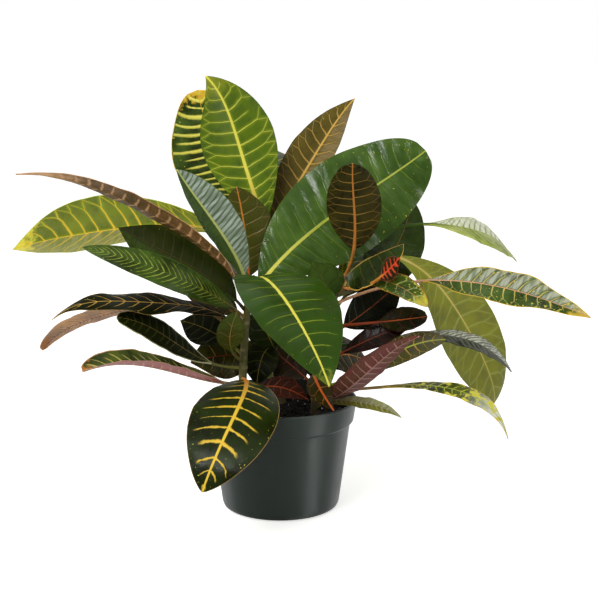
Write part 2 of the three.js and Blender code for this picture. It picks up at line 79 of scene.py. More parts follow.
# What only the dressed pieces have: the pot's rounded corners and sharp edges, a gap round the soil,
# how far a stem goes into it, and leaf scars, each turned against the last.
CORNER_RADIUS = 0.9
SHARP_ANGLE = math.radians(40)
SOIL_GAP = 0.3
SOIL_RINGS = 64
SOIL_SIDES = 200
STEM_DEPTH = 12
LEAF_SCARS_FROM = SOIL_TOP + 8
LEAF_SCAR_SPACING = 9
LEAF_TURN = math.radians(137.5)

# How a leaf is drawn out: the fewest and the most rows of points on a blade, the distance between a
# stalk's rows, half the width at the very tip, the swollen foot of the stalk, the numbers of ripples
# along a margin, how uneven the spacing of veins is and how wide the groove over one, as shares of the
# spacing, the rib and keel of the midrib, and what parts the counts of veins on the two sides.
BLADE_ROWS = (24, 130)
STALK_STEP = 3
TIP_HALF_WIDTH = 0.15
FOOT_SWELL = 0.35
FOOT_SWELL_LENGTH = 4
RIPPLES = (4.3, 7.1, 11.7)
SPACING_SHARE = 0.17
GROOVE_SHARE = 0.17
RIB_HEIGHT = 0.25
RIB_WIDTH = 1.1
KEEL_WIDTH = 1.5
COUNT_STEP = 50.0
LEAF_SEED = 100
YOUNG_LEAF_SEED = 60

# The point that the lights face, and for each light its place, its width and height, and what it
# leaves dark, all in metres, as the floor's radius is. The bearing of the low strip of light is in
# radians from the front, and the picture's longer side is in pixels, as the focal length is.
AIM = Vector((0, 0, 0.22))
LIGHTS = {
    "key": ((-0.8, -1.2, 1.6), (1.2, 1.2), "visible_glossy"),
    "side": ((1.25, -0.95, 0.4), (0.2, 1.1), None),
    "sheen": ((-1.5, -0.8, 1.2), (0.3, 1.0), None),
    "glint": ((-0.55, -1.45, 1.2), (0.35, 0.35), "visible_diffuse"),
}
FLOOR_RADIUS = 30.0
STRIP_BEARING = 1.15
PICTURE_SIDE = 602

# Each stem stands upright in the soil and leans by the square of its height. Crown is its top.
STEMS = {
    "front": {"foot": (-38, -22), "lean": (8, 7), "crown": 228},
    "right": {"foot": (35, -5), "lean": (27, 10), "crown": 236},
    "back": {"foot": (0, 35), "lean": (-20, 3), "crown": 262},
}

# Young leaves of each crown: tip as an offset from its top, and width.
YOUNG_LEAVES = {
    "front": [((-3, -3, 17), 9), ((4, 2, 12), 8)],
    "right": [((1, 6, 14), 9), ((5, 2, 9), 8)],
    "back": [((2, 6, 19), 9), ((6, 2, 13), 8)],
}
YOUNG_LEAF_BASE = (0, 0, -3)

# The shape of a blade, where its row says nothing else. stalk is its length, fold lifts the halves to
# a V and curl bends their margins down, both as shares of half the width, and wave is the height of
# its large waves. Above 1, fullest puts the widest place nearer the tip. base and point are the
# powers of the outline at its two ends: the lower, the fuller.
SHAPE = dict(stalk=20, fold=0.1, curl=0.1, wave=0, fullest=1, base=0.7, point=1)

# A finish names colours of the leaf settings. blade and shade are mixed in clouds, near tints the
# blade beside the veins, and stalk and ends are the midrib's colours at its two ends. Widths and
# spacing of veins are in millimetres. lean is how far a vein climbs towards the tip, in spacings,
# reach how far out it runs, fork where it splits, ragged how uneven it is, and tip_from where the
# tip's colour starts. half is a colour over the half of the blade that half_side names, from
# half_from outwards, which ribs break up along the veins. On most leaves half is a painted
# reflection, a pale streaked sheen; on great_right it is painted shade, and on left_bronze a green
# band. quilt is how high the blade swells between veins, in millimetres. The shares run from 0 to 1.
FINISH = dict(
    blade="leaf_green", shade="rich_green", near="bright_green", near_share=0.3, vein="lemon",
    vein_share=0.85, vein_width=0.45, spacing=11, lean=0.8, reach=0.9, fork=0.7, ragged=0.3,
    stalk="stalk_green", ends="lemon", midrib=1.5, margin="leaf_green", margin_width=0.5, tip="leaf_green",
    tip_share=0, tip_from=0.8, flecks=0, blotches=0, fleck="lemon", half="silver", half_share=0,
    half_side=1, half_from=0.3, ribs=0, under="olive_back", under_shade="olive_back", under_vein="pale_rib",
    under_midrib="pale_rib", quilt=0.35, gloss=0.3, roughness=0.3, under_roughness=0.5,
)
FINISHES = {
    "lemon": dict(stalk="lemon", tip="lemon", tip_share=0.2),
    "golden": dict(
        blade="rich_green", shade="deep_green", near="leaf_green", vein="golden", ends="golden",
        margin="golden", vein_width=0.55, flecks=0.1,
    ),
    "olive": dict(
        blade="olive_brown", shade="olive_green", near="olive_brown", vein="golden_tan", stalk="orange",
        ends="golden_tan", margin="bronze", midrib=1.6,
    ),
    "bronze": dict(
        blade="bronze", shade="dark_bronze", near="bronze", vein="golden_tan", vein_share=0.7,
        vein_width=0.35, stalk="tan", ends="orange", margin="bronze", under="brown_back",
        under_shade="mauve_back", under_vein="tan", under_midrib="tan",
    ),
    "dark": dict(
        blade="deep_green", shade="night_green", near="deep_green", near_share=0.2, vein="moss_green",
        vein_share=0.5, vein_width=0.3, ends="tan", midrib=0.9, margin="deep_green", gloss=0.25,
    ),
    "rose": dict(
        blade="deep_green", shade="night_green", near="rich_green", vein="orange", vein_width=0.5,
        stalk="tan", ends="orange", margin="rust", under="rose_back", under_shade="mauve_back",
        under_vein="peach", under_midrib="peach", midrib=1.3,
    ),
    "pale": dict(
        blade="pale_olive", shade="dusty_olive", near="pale_olive", vein="pale_lemon", vein_share=0.4,
        vein_width=0.5, ends="golden_tan", midrib=1.3, margin="lime", margin_width=0.4, roughness=0.45,
    ),
    "red": dict(
        blade="night_red", shade="dark_bronze", near="maroon", vein="rust", vein_width=0.35, vein_share=0.3,
        stalk="rust", ends="rust", midrib=1.1, margin="maroon", under="mauve_back", under_shade="maroon",
        under_vein="peach", under_midrib="orange", gloss=0.25,
    ),
}


def leaf(stem, at, curve, faces, width, shape, look, **own):
    """A leaf: its stem, its height there, points along its midrib up to the tip, the way its upper face
    looks, its full width, the shape of its blade, its finish, and what it has apart from that finish."""
    row = {"stem": stem, "at": at, "curve": curve, "faces": faces, "width": width, "look": look}
    return {**row, **SHAPE, **shape, "finish": {**FINISH, **FINISHES[look], **own}}


# In each row: stem, height there, midrib, the way the upper face looks, width, shape, finish.
LEAVES = {
    "top_green": leaf(
        "back", 246, [(-22, 18, 303), (-40, 32, 359), (-55, 32, 404), (-74, 26, 433)], (0.3, -1, 0.1), 77,
        dict(stalk=40, fold=0.2, curl=0.12, fullest=1.15, base=0.8),
        "lemon", blade="fresh_green", shade="leaf_green", near_share=0.5, vein="bright_lime",
        vein_width=0.55, midrib=3.3, spacing=11.5, lean=1, under="leaf_back", stalk="golden_tan",
        ends="bright_lemon", fork=0.72, gloss=0.2, vein_share=0.95,
    ),
    "top_back_golden": leaf(
        "back", 239, [(-42, 56, 309), (-71, 71, 369), (-86, 77, 418)], (-0.35, -1, 0.1), 100,
        dict(stalk=34, fold=0.2, fullest=1.4, base=2.8, point=0.5),
        "golden", blade="leaf_green", vein="bright_lemon", vein_width=1.25, vein_share=1, reach=1,
        fork=0.96, spacing=8, lean=1.5, ragged=0.25, tip="gold", tip_share=0.95, tip_from=0.92, flecks=0.3,
        near_share=0.1, midrib=1, margin="gold", margin_width=0.8,
    ),
    # Its pale blue-grey half, broken by dark ribs, is a painted reflection.
    "upper_left_folded": leaf(
        "front", 222, [(-42, -40, 261), (-66, -58, 304), (-94, -76, 349)], (1, -0.85, 0.25), 46,
        dict(stalk=14, fold=0.45, curl=0, fullest=1.1, base=0.8, point=0.7),
        "dark", blade="leaf_green", shade="rich_green", vein_share=0, near_share=0, stalk="pale_lime",
        ends="pale_lime", midrib=3.2, quilt=0.9, spacing=5.2, margin="leaf_green", half="grey_bloom",
        half_share=1, ribs=0.75, half_from=0.12, lean=0.9,
    ),
    "upper_middle_olive": leaf(
        "front", 226, [(-35, 4, 280), (-43, 6, 325)], (0, -1, 0.15), 58,
        dict(stalk=12, fold=0.12, point=0.75),
        "olive", blade="olive_green", midrib=1.9, spacing=12, vein_share=0.25, stalk="bright_orange",
        ends="orange",
    ),
    # Its pale tan half is a painted sheen.
    "upper_right_olive": leaf(
        "back", 252, [(2, 46, 295), (26, 60, 337), (57, 76, 385), (77, 88, 409)], (-0.5, -1, 0.1), 50,
        dict(fold=0.45, curl=0),
        "olive", blade="warm_olive", shade="olive_brown", midrib=2.6, vein_width=0.6, lean=1.3, fork=0.68,
        half="tan_bloom", half_share=0.5, ribs=0.3, ends="bright_tan", stalk="bright_orange",
        vein="bright_tan", vein_share=0.75,
    ),
    # One half is darkened to deeper green as painted shade.
    "great_right": leaf(
        "front", 221, [(20, -2, 272), (65, 12, 305), (146, 29, 359)], (-0.1, -1, 0.15), 99,
        dict(stalk=10, fold=0.08, wave=2.5, fullest=1.15, point=0.42),
        "lemon", blade="fern_green", shade="grass_green", near="leaf_green", near_share=0.1,
        vein="bright_green", vein_share=0.35, vein_width=0.4, reach=0.8, spacing=13, midrib=2.7,
        stalk="bright_lemon", ends="lime", tip_share=0, blotches=0.05, flecks=0.25, fork=0.8, quilt=1.5,
        roughness=0.23, gloss=0.6, half="rich_green", half_share=0.5, half_from=0.6,
    ),
    "bronze_round": leaf(
        "right", 234, [(73, -22, 276), (71, -38, 317), (69, -56, 353)], (0, -1, 0.1), 53,
        dict(stalk=38, fold=0.06, curl=0.15, base=0.65, point=0.5),
        "bronze", blade="warm_bronze", midrib=2.2, spacing=8.5, vein_width=0.32, lean=0.6, stalk="orange",
    ),
    "far_right_dark": leaf(
        "right", 216, [(105, 44, 239), (127, 68, 270), (138, 92, 304)], (0.1, -1, 0.1), 60,
        dict(stalk=30, point=0.7),
        "dark", blade="leaf_green", shade="deep_green",
    ),
    # Its near-white half is a painted reflection.
    "level_pale": leaf(
        "right", 234, [(108, 16, 281), (162, 34, 284), (217, 54, 269), (243, 70, 245)], (0.05, -0.5, 1), 66,
        dict(stalk=106, fullest=2, point=0.4),
        "golden", blade="pale_lime", shade="bright_green", vein="rich_green", vein_share=0.6, spacing=7,
        lean=2.2, tip="lime", tip_share=0.9, tip_from=0.72, margin="lime", margin_width=0.9, ends="lime",
        half="ash_bloom", half_share=1, half_side=-1, half_from=0.06, ribs=0.3, fork=0.95,
        stalk="leaf_green", under="ash_bloom", under_shade="pale_lime", gloss=0.08,
    ),
    # The pale streaks on one half are a painted sheen.
    "long_right": leaf(
        "right", 209, [(139, -4, 232), (195, -34, 235), (243, -66, 228), (290, -92, 213)],
        (0.1, -0.65, 0.8), 44,
        dict(stalk=88, fold=0.12, curl=0, wave=2, fullest=0.92, base=1.3, point=0.85),
        "golden", blade="leaf_green", stalk="peach", ends="peach", midrib=1.3, spacing=12, margin="gold",
        margin_width=0.9, tip="bright_golden", tip_share=0.7, tip_from=0.88, flecks=0.8, vein="pale_golden",
        half="ash_bloom", half_share=0.5, half_side=-1, ribs=0.8, half_from=0.15, under="silver", gloss=0.2,
    ),
    "hanging_pale": leaf(
        "right", 223, [(119, 20, 252), (157, 34, 226), (196, 48, 171), (222, 60, 118), (229, 70, 86)],
        (0.35, -0.9, 0.3), 77, dict(stalk=60, fullest=1.45, base=1, point=0.5),
        "pale", near="lime", spacing=15, midrib=1.8, quilt=0.2, lean=1.2, fork=0.6, stalk="pale_golden",
        ends="pale_golden", under_midrib="pale_golden",
    ),
    # The pale ribbed half and the pale tint beside the veins are a painted reflection.
    "glossy_dark_right": leaf(
        "right", 166, [(121, 4, 173), (184, -13, 175), (228, -36, 147)], (0.1, -0.35, 0.9), 28,
        dict(stalk=54, fullest=1.5),
        "dark", blade="charcoal", quilt=0.9, roughness=0.2, spacing=6, lean=2.5, vein_share=0.1,
        near="ash_bloom", near_share=0.1, stalk="rich_green", ends="rich_green", half="ash_bloom",
        half_side=-1, half_share=0.8, half_from=0.05, ribs=0.9, ragged=1,
    ),
    "low_right_variegated": leaf(
        "right", 120, [(100, -14, 126), (157, -40, 133), (193, -64, 126), (218, -86, 94)],
        (0.1, -0.35, 0.95), 25, dict(stalk=60, fullest=1.3, point=1.5),
        "golden", blotches=0.8, flecks=0.6, vein="lemon", ends="lime", spacing=9, stalk="tan",
        vein_share=0.8, fork=0.9, blade="moss_green", tip="ash_bloom", tip_share=0.9, tip_from=0.55,
    ),
    "front_green": leaf(
        "front", 224, [(-17, -56, 245), (10, -100, 225), (46, -142, 160)], (0.65, -1, 0.2), 100,
        dict(stalk=30, fold=0.26, curl=0.12, fullest=0.82, base=0.85, point=0.9),
        "lemon", blade="mid_green", near="leaf_green", near_share=0.25, vein="bright_green",
        vein_share=0.75, vein_width=0.4, midrib=3.4, spacing=12, lean=1, reach=0.85, fork=0.97, tip="lime",
        tip_share=0.3, tip_from=0.9, quilt=0.7, gloss=0.2, stalk="bright_lemon", ends="bright_lemon",
    ),
    "hanging_front": leaf(
        "front", 138, [(-32, -62, 140), (-47, -126, 114), (-69, -152, 64)], (-0.1, -0.9, 0.5), 81,
        dict(stalk=14, curl=0.12, point=0.75),
        "golden", blade="deep_green", shade="night_green", near_share=0.05, stalk="orange",
        ends="bright_golden", midrib=3.3, vein="bright_golden", vein_share=1, vein_width=0.85, spacing=14,
        lean=1.3, reach=0.8, fork=0.97, ragged=0.9, margin="tan", margin_width=0.6, flecks=0.3,
        blotches=0.05, gloss=0.25,
    ),
    "low_left_rose_edged": leaf(
        "front", 132, [(-74, -40, 141), (-123, -76, 163), (-179, -122, 169)], (0, -0.12, 1), 38,
        dict(stalk=12, fold=0.5, curl=0, fullest=1.2, base=0.5, point=0.4),
        "golden", blade="moss_green", vein="pale_golden", vein_width=0.85, ends="peach", margin="peach",
        margin_width=1, spacing=10, lean=1.6, under="rose_edge", under_shade="rose_edge",
        under_vein="peach", fork=0.95, near_share=0.1, tip="orange", tip_share=0.7, tip_from=0.93,
    ),
    "low_left_dark": leaf(
        "front", 148, [(-67, -26, 153), (-112, -40, 184), (-157, -52, 205)], (0, -0.6, 0.75), 31,
        dict(stalk=26, fullest=1.3, point=0.4),
        "dark", blade="night_green", vein_share=0.6, spacing=8, margin="pale_rib", margin_width=1.3,
        midrib=0.6, fork=0.95,
    ),
    "left_ribbed_rose": leaf(
        "front", 174, [(-116, 6, 208), (-164, 24, 197), (-218, 44, 177), (-252, 54, 148)], (0, 0.56, 0.83),
        28, dict(stalk=70, curl=0, fullest=1.3, point=0.35),
        "rose", under="bright_peach", under_shade="tan_back", under_vein="rose_back", spacing=5, lean=3.5,
        tip="orange", tip_share=0.8, tip_from=0.88, quilt=0.8, fork=0.97, under_midrib="rose_back",
        margin="peach",
    ),
    "left_orange_veined": leaf(
        "front", 186, [(-83, -24, 210), (-128, -38, 217), (-169, -48, 220), (-217, -62, 205)],
        (0, -0.42, 0.9), 33, dict(curl=0.15, wave=2, base=0.5, point=1.2),
        "dark", blade="night_green", vein="bright_tan", vein_share=0.95, vein_width=0.5, stalk="tan",
        ends="bright_tan", spacing=13, lean=1.6, fork=0.85, midrib=1.1, near_share=0.1, gloss=0.06,
        margin="tan", flecks=0.2, ragged=0.7,
    ),
    # Its grey-olive half is a painted reflection.
    "great_left": leaf(
        "back", 240, [(-77, 28, 281), (-145, 48, 280), (-220, 62, 268), (-283, 74, 252)],
        (-0.05, -0.66, 0.8), 78, dict(stalk=44, fold=0.38, curl=0, fullest=1.5),
        "lemon", blade="olive_lime", shade="moss_green", near_share=0.55, vein="gold", vein_share=0.9,
        vein_width=0.9, spacing=15, lean=1.8, reach=0.95, stalk="golden_tan", ends="golden", midrib=1.6,
        margin="lime", margin_width=0.8, tip_share=0.95, tip_from=0.86, half="grey_olive", half_share=0.9,
        half_side=-1, half_from=0.08, flecks=0.15, gloss=0.15,
    ),
    "rising_left_rose": leaf(
        "front", 216, [(-67, -48, 270), (-121, -66, 309), (-177, -90, 338), (-235, -110, 348)],
        (0.3, 0.5, 0.8), 36, dict(stalk=30, curl=0),
        "rose", spacing=12, lean=0.4, under="russet_back", under_shade="brown_back", tip="bright_peach",
        tip_share=0.9, tip_from=0.72, margin="bright_peach", margin_width=0.8, fork=0.9,
        under_vein="bright_peach", vein_width=1.15, under_midrib="russet_back", reach=1, vein_share=1,
    ),
    "left_dark_striped": leaf(
        "front", 200, [(-62, -52, 226), (-121, -76, 259), (-184, -70, 276)], (0, -0.85, 0.55), 29,
        dict(stalk=18, point=0.7),
        "golden", blade="leaf_green", vein="lime", vein_width=0.45, spacing=6, lean=3.2, stalk="tan",
        ends="leaf_green", midrib=0.7, fork=0.98, ragged=0.9, vein_share=0.7, margin="leaf_green",
    ),
    "left_bronze": leaf(
        "front", 208, [(-70, -36, 242), (-108, -46, 267), (-152, -58, 293)], (0.1, -0.9, 0.4), 58,
        dict(stalk=12),
        "bronze", blade="dark_olive", shade="deep_green", vein_share=0.06, midrib=0.8, roughness=0.36,
        margin="dark_bronze", near_share=0.1, ends="olive_brown", stalk="bronze", gloss=0.2,
        half="leaf_green", half_share=0.7, half_side=-1, half_from=0.35, ribs=0.4,
    ),
    "rose_backed": leaf(
        "right", 112, [(60, -36, 126), (91, -54, 158), (132, -80, 193)], (-0.5, 0.8, 0.3), 40,
        dict(stalk=18, curl=0, fullest=0.8, point=0.9),
        "rose", under="wine_back", under_shade="rust_back", under_vein="pink_rib", under_midrib="pink_rib",
        spacing=8.5, lean=0.7, tip="rust", tip_share=0.8, tip_from=0.85, quilt=0.5, fork=0.95,
        margin="wine_back", vein_width=0.55,
    ),
    "small_right_olive": leaf(
        "right", 124, [(80, -18, 142), (117, -28, 166), (162, -38, 180)], (0.2, -0.8, 0.5), 27,
        dict(stalk=36, curl=0, fullest=1.3, point=0.6),
        "olive", blade="olive_green", shade="bronze", ends="lime", spacing=9, stalk="lime",
    ),
    # The pale tint over one half is a painted sheen.
    "rim_olive": leaf(
        "right", 103, [(60, -42, 119), (86, -60, 121), (116, -86, 115)], (0, -0.5, 0.85), 17,
        dict(stalk=22, curl=0),
        "olive", blade="pale_olive", shade="dusty_olive", vein="pale_rib", spacing=6, lean=1.5, midrib=0.8,
        vein_share=0.9, fork=0.95, ends="pale_rib", stalk="moss_green", vein_width=0.7, margin="pale_rib",
        half="ash_bloom", half_share=0.35, half_side=-1,
    ),
    "orange_ribbed_small": leaf(
        "right", 142, [(34, -40, 144), (52, -80, 120)], (-0.4, -0.6, 0.7), 24,
        dict(stalk=24, fold=0.2, curl=0),
        "red", blade="bronze", midrib=2.3, stalk="orange", ends="bright_orange", vein="orange",
        vein_share=0.7, gloss=0.1,
    ),
    "soil_red": leaf(
        "front", 122, [(-8, -42, 134), (28, -60, 125)], (0.1, -0.7, 0.75), 26,
        dict(stalk=14, fold=0.15, curl=0),
        "red", blade="maroon", shade="night_red", spacing=9, vein_share=0.5, gloss=0.1,
    ),
    "middle_right_drooping": leaf(
        "right", 230, [(82, -34, 257), (119, -42, 275)], (0, -0.3, 1), 50,
        dict(stalk=14, fold=-0.8, curl=0, point=0.6),
        "dark", blade="rich_green", stalk="tan", ends="bright_tan", vein="bright_tan", vein_share=0.12,
        margin="bright_tan", margin_width=0.9, midrib=1.1,
    ),
    "middle_right_veined": leaf(
        "right", 221, [(105, -50, 239), (140, -74, 220)], (0.1, -0.6, 0.8), 30,
        dict(fold=0.15, curl=0, fullest=1.3, point=0.6),
        "golden", blade="moss_green", shade="leaf_green", stalk="tan", ends="golden_tan", tip="lemon",
        tip_share=0.8, margin="orange", margin_width=0.8, vein="pale_lime", flecks=0.9, vein_share=0.9,
    ),
    # Near-black, partly as painted shade for the dark inside of the crown.
    "inner_right_black": leaf(
        "right", 176, [(90, 8, 202), (121, 6, 231)], (0, -1, 0.2), 42, dict(stalk=18),
        "dark", blade="night_green", shade="coal", stalk="rust", ends="rust", vein_share=0.05,
    ),
    # Its darkest clouds are partly painted shade inside the crown.
    "inner_right_maroon": leaf(
        "right", 148, [(92, -5, 174), (136, -7, 192)], (0, -0.8, 0.6), 25, dict(stalk=22, curl=0),
        "red", shade="coal", midrib=0.9,
    ),
    "small_red_ribbed": leaf(
        "right", 186, [(108, -12, 193), (146, -18, 199)], (0, -0.8, 0.6), 27,
        dict(stalk=48, curl=0, point=0.45),
        "red", blade="bronze", shade="night_green", ends="bright_orange",
    ),
    "inner_left_hooked": leaf(
        "front", 156, [(-48, -42, 174), (-40, -50, 212)], (0.1, -1, 0.2), 28, dict(fold=0.15, curl=0),
        "dark", blade="leaf_green", shade="olive_green", vein="tan",
    ),
    # Near-black, partly painted shade inside the crown.
    "inner_left_dark": leaf(
        "front", 162, [(-72, 12, 178), (-104, 34, 184)], (-0.1, -0.8, 0.6), 40, dict(stalk=18, curl=0),
        "dark", blade="night_green", shade="coal", midrib=0.6, gloss=0.08,
    ),
    "middle_dark": leaf(
        "right", 206, [(46, -16, 228), (32, -24, 254)], (0, -1, 0.1), 40, dict(stalk=10, curl=0),
        "dark", blade="leaf_green", shade="rich_green", vein_share=0.25, ends="moss_green",
    ),
    # Near-black, partly painted shade inside the crown.
    "inner_middle_dark": leaf(
        "back", 156, [(-14, 14, 158), (-24, 0, 124)], (-0.2, -0.9, 0.3), 36, dict(stalk=8, curl=0),
        "dark", blade="coal", midrib=0.6, gloss=0.1,
    ),
    "inner_left_brown": leaf(
        "front", 194, [(-68, 2, 214), (-106, 6, 228)], (0, -0.8, 0.6), 30, dict(stalk=10, curl=0, base=0.5),
        "bronze", blade="olive_green", shade="olive_brown",
    ),
    "back_hanging_left": leaf(
        "back", 158, [(-52, 92, 176), (-84, 160, 120)], (-0.3, 0.6, 0.8), 52, dict(stalk=30),
        "lemon",
    ),
    "back_hanging_right": leaf(
        "right", 158, [(44, 84, 176), (40, 150, 116)], (0.2, 0.6, 0.8), 44, dict(stalk=30),
        "bronze",
    ),
    "back_hanging_middle": leaf(
        "back", 136, [(-12, 94, 146), (-20, 132, 82)], (0, 0.9, 0.4), 56, dict(stalk=26),
        "golden",
    ),
    "back_top": leaf(
        "back", 256, [(-8, 94, 318), (-14, 166, 352)], (0, 0.7, 0.7), 50, dict(stalk=28),
        "golden",
    ),
    "back_upper_left": leaf(
        "back", 230, [(-76, 108, 274), (-140, 190, 258)], (-0.2, 0.3, 0.9), 58, dict(stalk=36, wave=1.5),
        "lemon",
    ),
    "back_middle": leaf(
        "back", 222, [(-8, 128, 276), (4, 232, 238)], (0, 0.35, 0.9), 64, dict(stalk=38),
        "golden",
    ),
    "back_upper_right": leaf(
        "back", 228, [(48, 112, 290), (104, 198, 288)], (0.2, 0.4, 0.9), 60, dict(stalk=38),
        "olive",
    ),
    "back_lower_left": leaf(
        "back", 196, [(-66, 98, 232), (-124, 176, 208)], (-0.2, 0.2, 0.95), 50, dict(stalk=32),
        "dark",
    ),
    "back_lower_right": leaf(
        "right", 192, [(98, 92, 228), (146, 176, 216)], (0.2, 0.2, 0.95), 54, dict(stalk=36),
        "golden",
    ),
    "back_lower_middle": leaf(
        "back", 168, [(4, 106, 198), (22, 200, 150)], (0, 0.3, 0.95), 54, dict(stalk=32),
        "olive",
    ),
    "back_low_left": leaf(
        "back", 140, [(-48, 40, 146), (-94, 30, 140)], (0, -0.9, 0.4), 50, dict(stalk=14),
        "red", blade="olive_green", vein="golden_tan", vein_share=0.6,
    ),
    "back_low_right": leaf(
        "right", 136, [(62, 32, 148), (92, 54, 134)], (0, -0.9, 0.4), 42, dict(stalk=12),
        "bronze",
    ),
    "back_lowest": leaf(
        "back", 126, [(24, 50, 140), (54, 62, 124)], (0, -0.9, 0.4), 44, dict(stalk=10),
        "dark",
    ),
    "back_crown": leaf("back", 260, [(8, 70, 308), (26, 110, 352)], (0.1, 0.8, 0.5), 40, {}, "bronze"),
    "back_right_crown": leaf(
        "right", 213, [(84, 76, 262), (112, 142, 290)], (0.3, 0.6, 0.7), 50, dict(stalk=34),
        "lemon",
    ),
}

# Small leaves that only fill the crown: they have rows like the others'.
INNER_LEAVES = {
    "inner_shade": leaf(
        "back", 150, [(-9, 16, 164), (-26, 6, 206)], (0.1, -1, 0.3), 38, dict(stalk=12),
        "dark",
    ),
    "inner_maroon": leaf(
        "right", 126, [(24, 5, 132), (-6, 13, 156)], (0.1, -1, 0.4), 44, dict(stalk=10),
        "red",
    ),
    "red_shoot": leaf(
        "right", 226, [(98, -72, 250), (112, -88, 269)], (-0.2, -1, 0.4), 22, dict(stalk=80),
        "red", blade="night_green", vein="vermilion", vein_share=1, vein_width=0.9, spacing=6, ragged=1,
        fork=0.98, stalk="orange", ends="vermilion", midrib=1.6, margin="rust", lean=0.5,
    ),
}

# The colours that the finishes name, as they look on a screen.
LEAF_COLOURS = {
    "fresh_green": "#5e7610", "bright_green": "#8a9c24", "leaf_green": "#47611c", "fern_green": "#4d6b20",
    "grass_green": "#365217", "moss_green": "#58631a", "mid_green": "#31500a", "rich_green": "#2f4510",
    # The near-black last colour on the next line darkens the inner leaves, partly their own colour and
    # partly painted shade inside the crown.
    "deep_green": "#222f07", "night_green": "#161a05", "charcoal": "#20221a", "coal": "#0c0b04",
    "olive_lime": "#727d1a", "lime": "#adb63e", "bright_lime": "#c6c84a", "pale_lime": "#c6ce76",
    "lemon": "#d8cf46", "bright_lemon": "#ece35a", "pale_lemon": "#c9c97c", "gold": "#dfb634",
    "golden": "#dcb43a", "bright_golden": "#eec53e", "pale_golden": "#dcc668", "golden_tan": "#bd9440",
    "bright_tan": "#cfa44a", "orange": "#c67c30", "bright_orange": "#d9682a", "vermilion": "#e04a26",
    "rust": "#8a3c1e", "tan": "#99793f", "warm_olive": "#6c5c1e", "olive_brown": "#52491a",
    "olive_green": "#444612", "dark_olive": "#343c0c", "warm_bronze": "#48400f", "bronze": "#38330f",
    "dark_bronze": "#27240a", "maroon": "#33160c", "night_red": "#24120a", "pale_olive": "#94972a",
    "dusty_olive": "#7a7c32", "leaf_back": "#6f7a35", "olive_back": "#666a2a", "pale_rib": "#b9b88c",
    "brown_back": "#5c4a20", "russet_back": "#8a6236", "rose_back": "#8a5a4c", "mauve_back": "#5a3a2c",
    "wine_back": "#74332e", "rust_back": "#6a4426", "rose_edge": "#bc6c66", "tan_back": "#c4a184",
    "peach": "#d6a27a", "bright_peach": "#f2bd86", "pink_rib": "#cf9a8c", "stalk_green": "#62622a",
    # Below silver, the grey, ash, tan and grey-olive colours paint reflections: pale sheens over halves of
    # leaves. The ash one also colours one leaf's back and another's tip.
    "silver": "#8f9382", "grey_bloom": "#b4c4b2", "ash_bloom": "#ecefd8", "tan_bloom": "#96805c",
    "grey_olive": "#8f8f58",
}


# Settings


def linear(code):
    """A screen colour such as #7a9a26 as Blender's linear red, green, blue and alpha."""
    parts = [int(code[i : i + 2], 16) / 255 for i in (1, 3, 5)]
    return [c / 12.92 if c <= 0.04045 else ((c + 0.055) / 1.055) ** 2.4 for c in parts] + [1.0]


def tint(name, code, description):
    return bpy.props.FloatVectorProperty(
        name=name, description=description, subtype="COLOR", size=4, min=0, max=1, default=linear(code)
    )


def number(name, description, default, least=0, **more):
    return bpy.props.FloatProperty(name=name, description=description, default=default, min=least, **more)


def whole(name, description, default, least=0, **more):
    return bpy.props.IntProperty(name=name, description=description, default=default, min=least, **more)


class CrotonLeafSettings(bpy.types.PropertyGroup):
    """How fine the leaves are made, how they are shaped beyond the solids, and their colours."""

    step: number("Step", "Distance between rows of points along a leaf, in millimetres", 2.2, 1)
    columns: whole("Columns", "Points from a midrib to its margin", 9, 4, max=24)
    thickness: number("Thickness", "Thickness of a blade in millimetres", 0.6, 0.3)
    keel: number("Keel", "Height of the midrib under a blade in millimetres", 1.7)
    ripple: number("Ripple", "Height of the margins' small waves in millimetres", 0.9)
    for key, code in LEAF_COLOURS.items():
        __annotations__[key] = tint(key.replace("_", " ").capitalize(), code, "Leaf colour")
    del key, code


class CrotonStemSettings(bpy.types.PropertyGroup):
    """Woody stems and their bark."""

    sides: whole("Sides", "Points round a stem", 28, 8)
    step: number("Step", "Distance between rings of points in millimetres", 1.5, 0.5)
    bark: tint("Bark", "#4f501f", "Colour of the green-brown bark")
    old_bark: tint("Old bark", "#54452c", "Colour of the bark near the soil")
    scar: tint("Leaf scar", "#8f8150", "Colour of the rings that fallen leaves left")


class CrotonSoilSettings(bpy.types.PropertyGroup):
    """The potting mix."""

    crumbs: whole("Crumbs", "Loose crumbs on the soil", 520)
    chips: whole("Bark chips", "Bark chips on the soil", 90)
    grains: whole("White grains", "White grains on the soil", 90)
    colour: tint("Soil", "#0d0a07", "Colour of the moist soil")
    chip_colour: tint("Chips", "#241a12", "Colour of the bark chips")
    grain_colour: tint("Grains", "#d8d5cc", "Colour of the white grains")
    seed: whole("Seed", "Which draw of crumbs is made", 7)


class CrotonPotSettings(bpy.types.PropertyGroup):
    """The moulded plastic pot."""

    sides: whole("Sides", "Points round the pot", 160, 32)
    colour: tint("Plastic", "#39433d", "Colour of the dark grey-green plastic")
    worn_colour: tint("Scuffs", "#4d5653", "Colour of scuffs and rubbed edges")
    dust_colour: tint("Dust", "#4a4236", "Colour of the dried soil near the rim and foot")


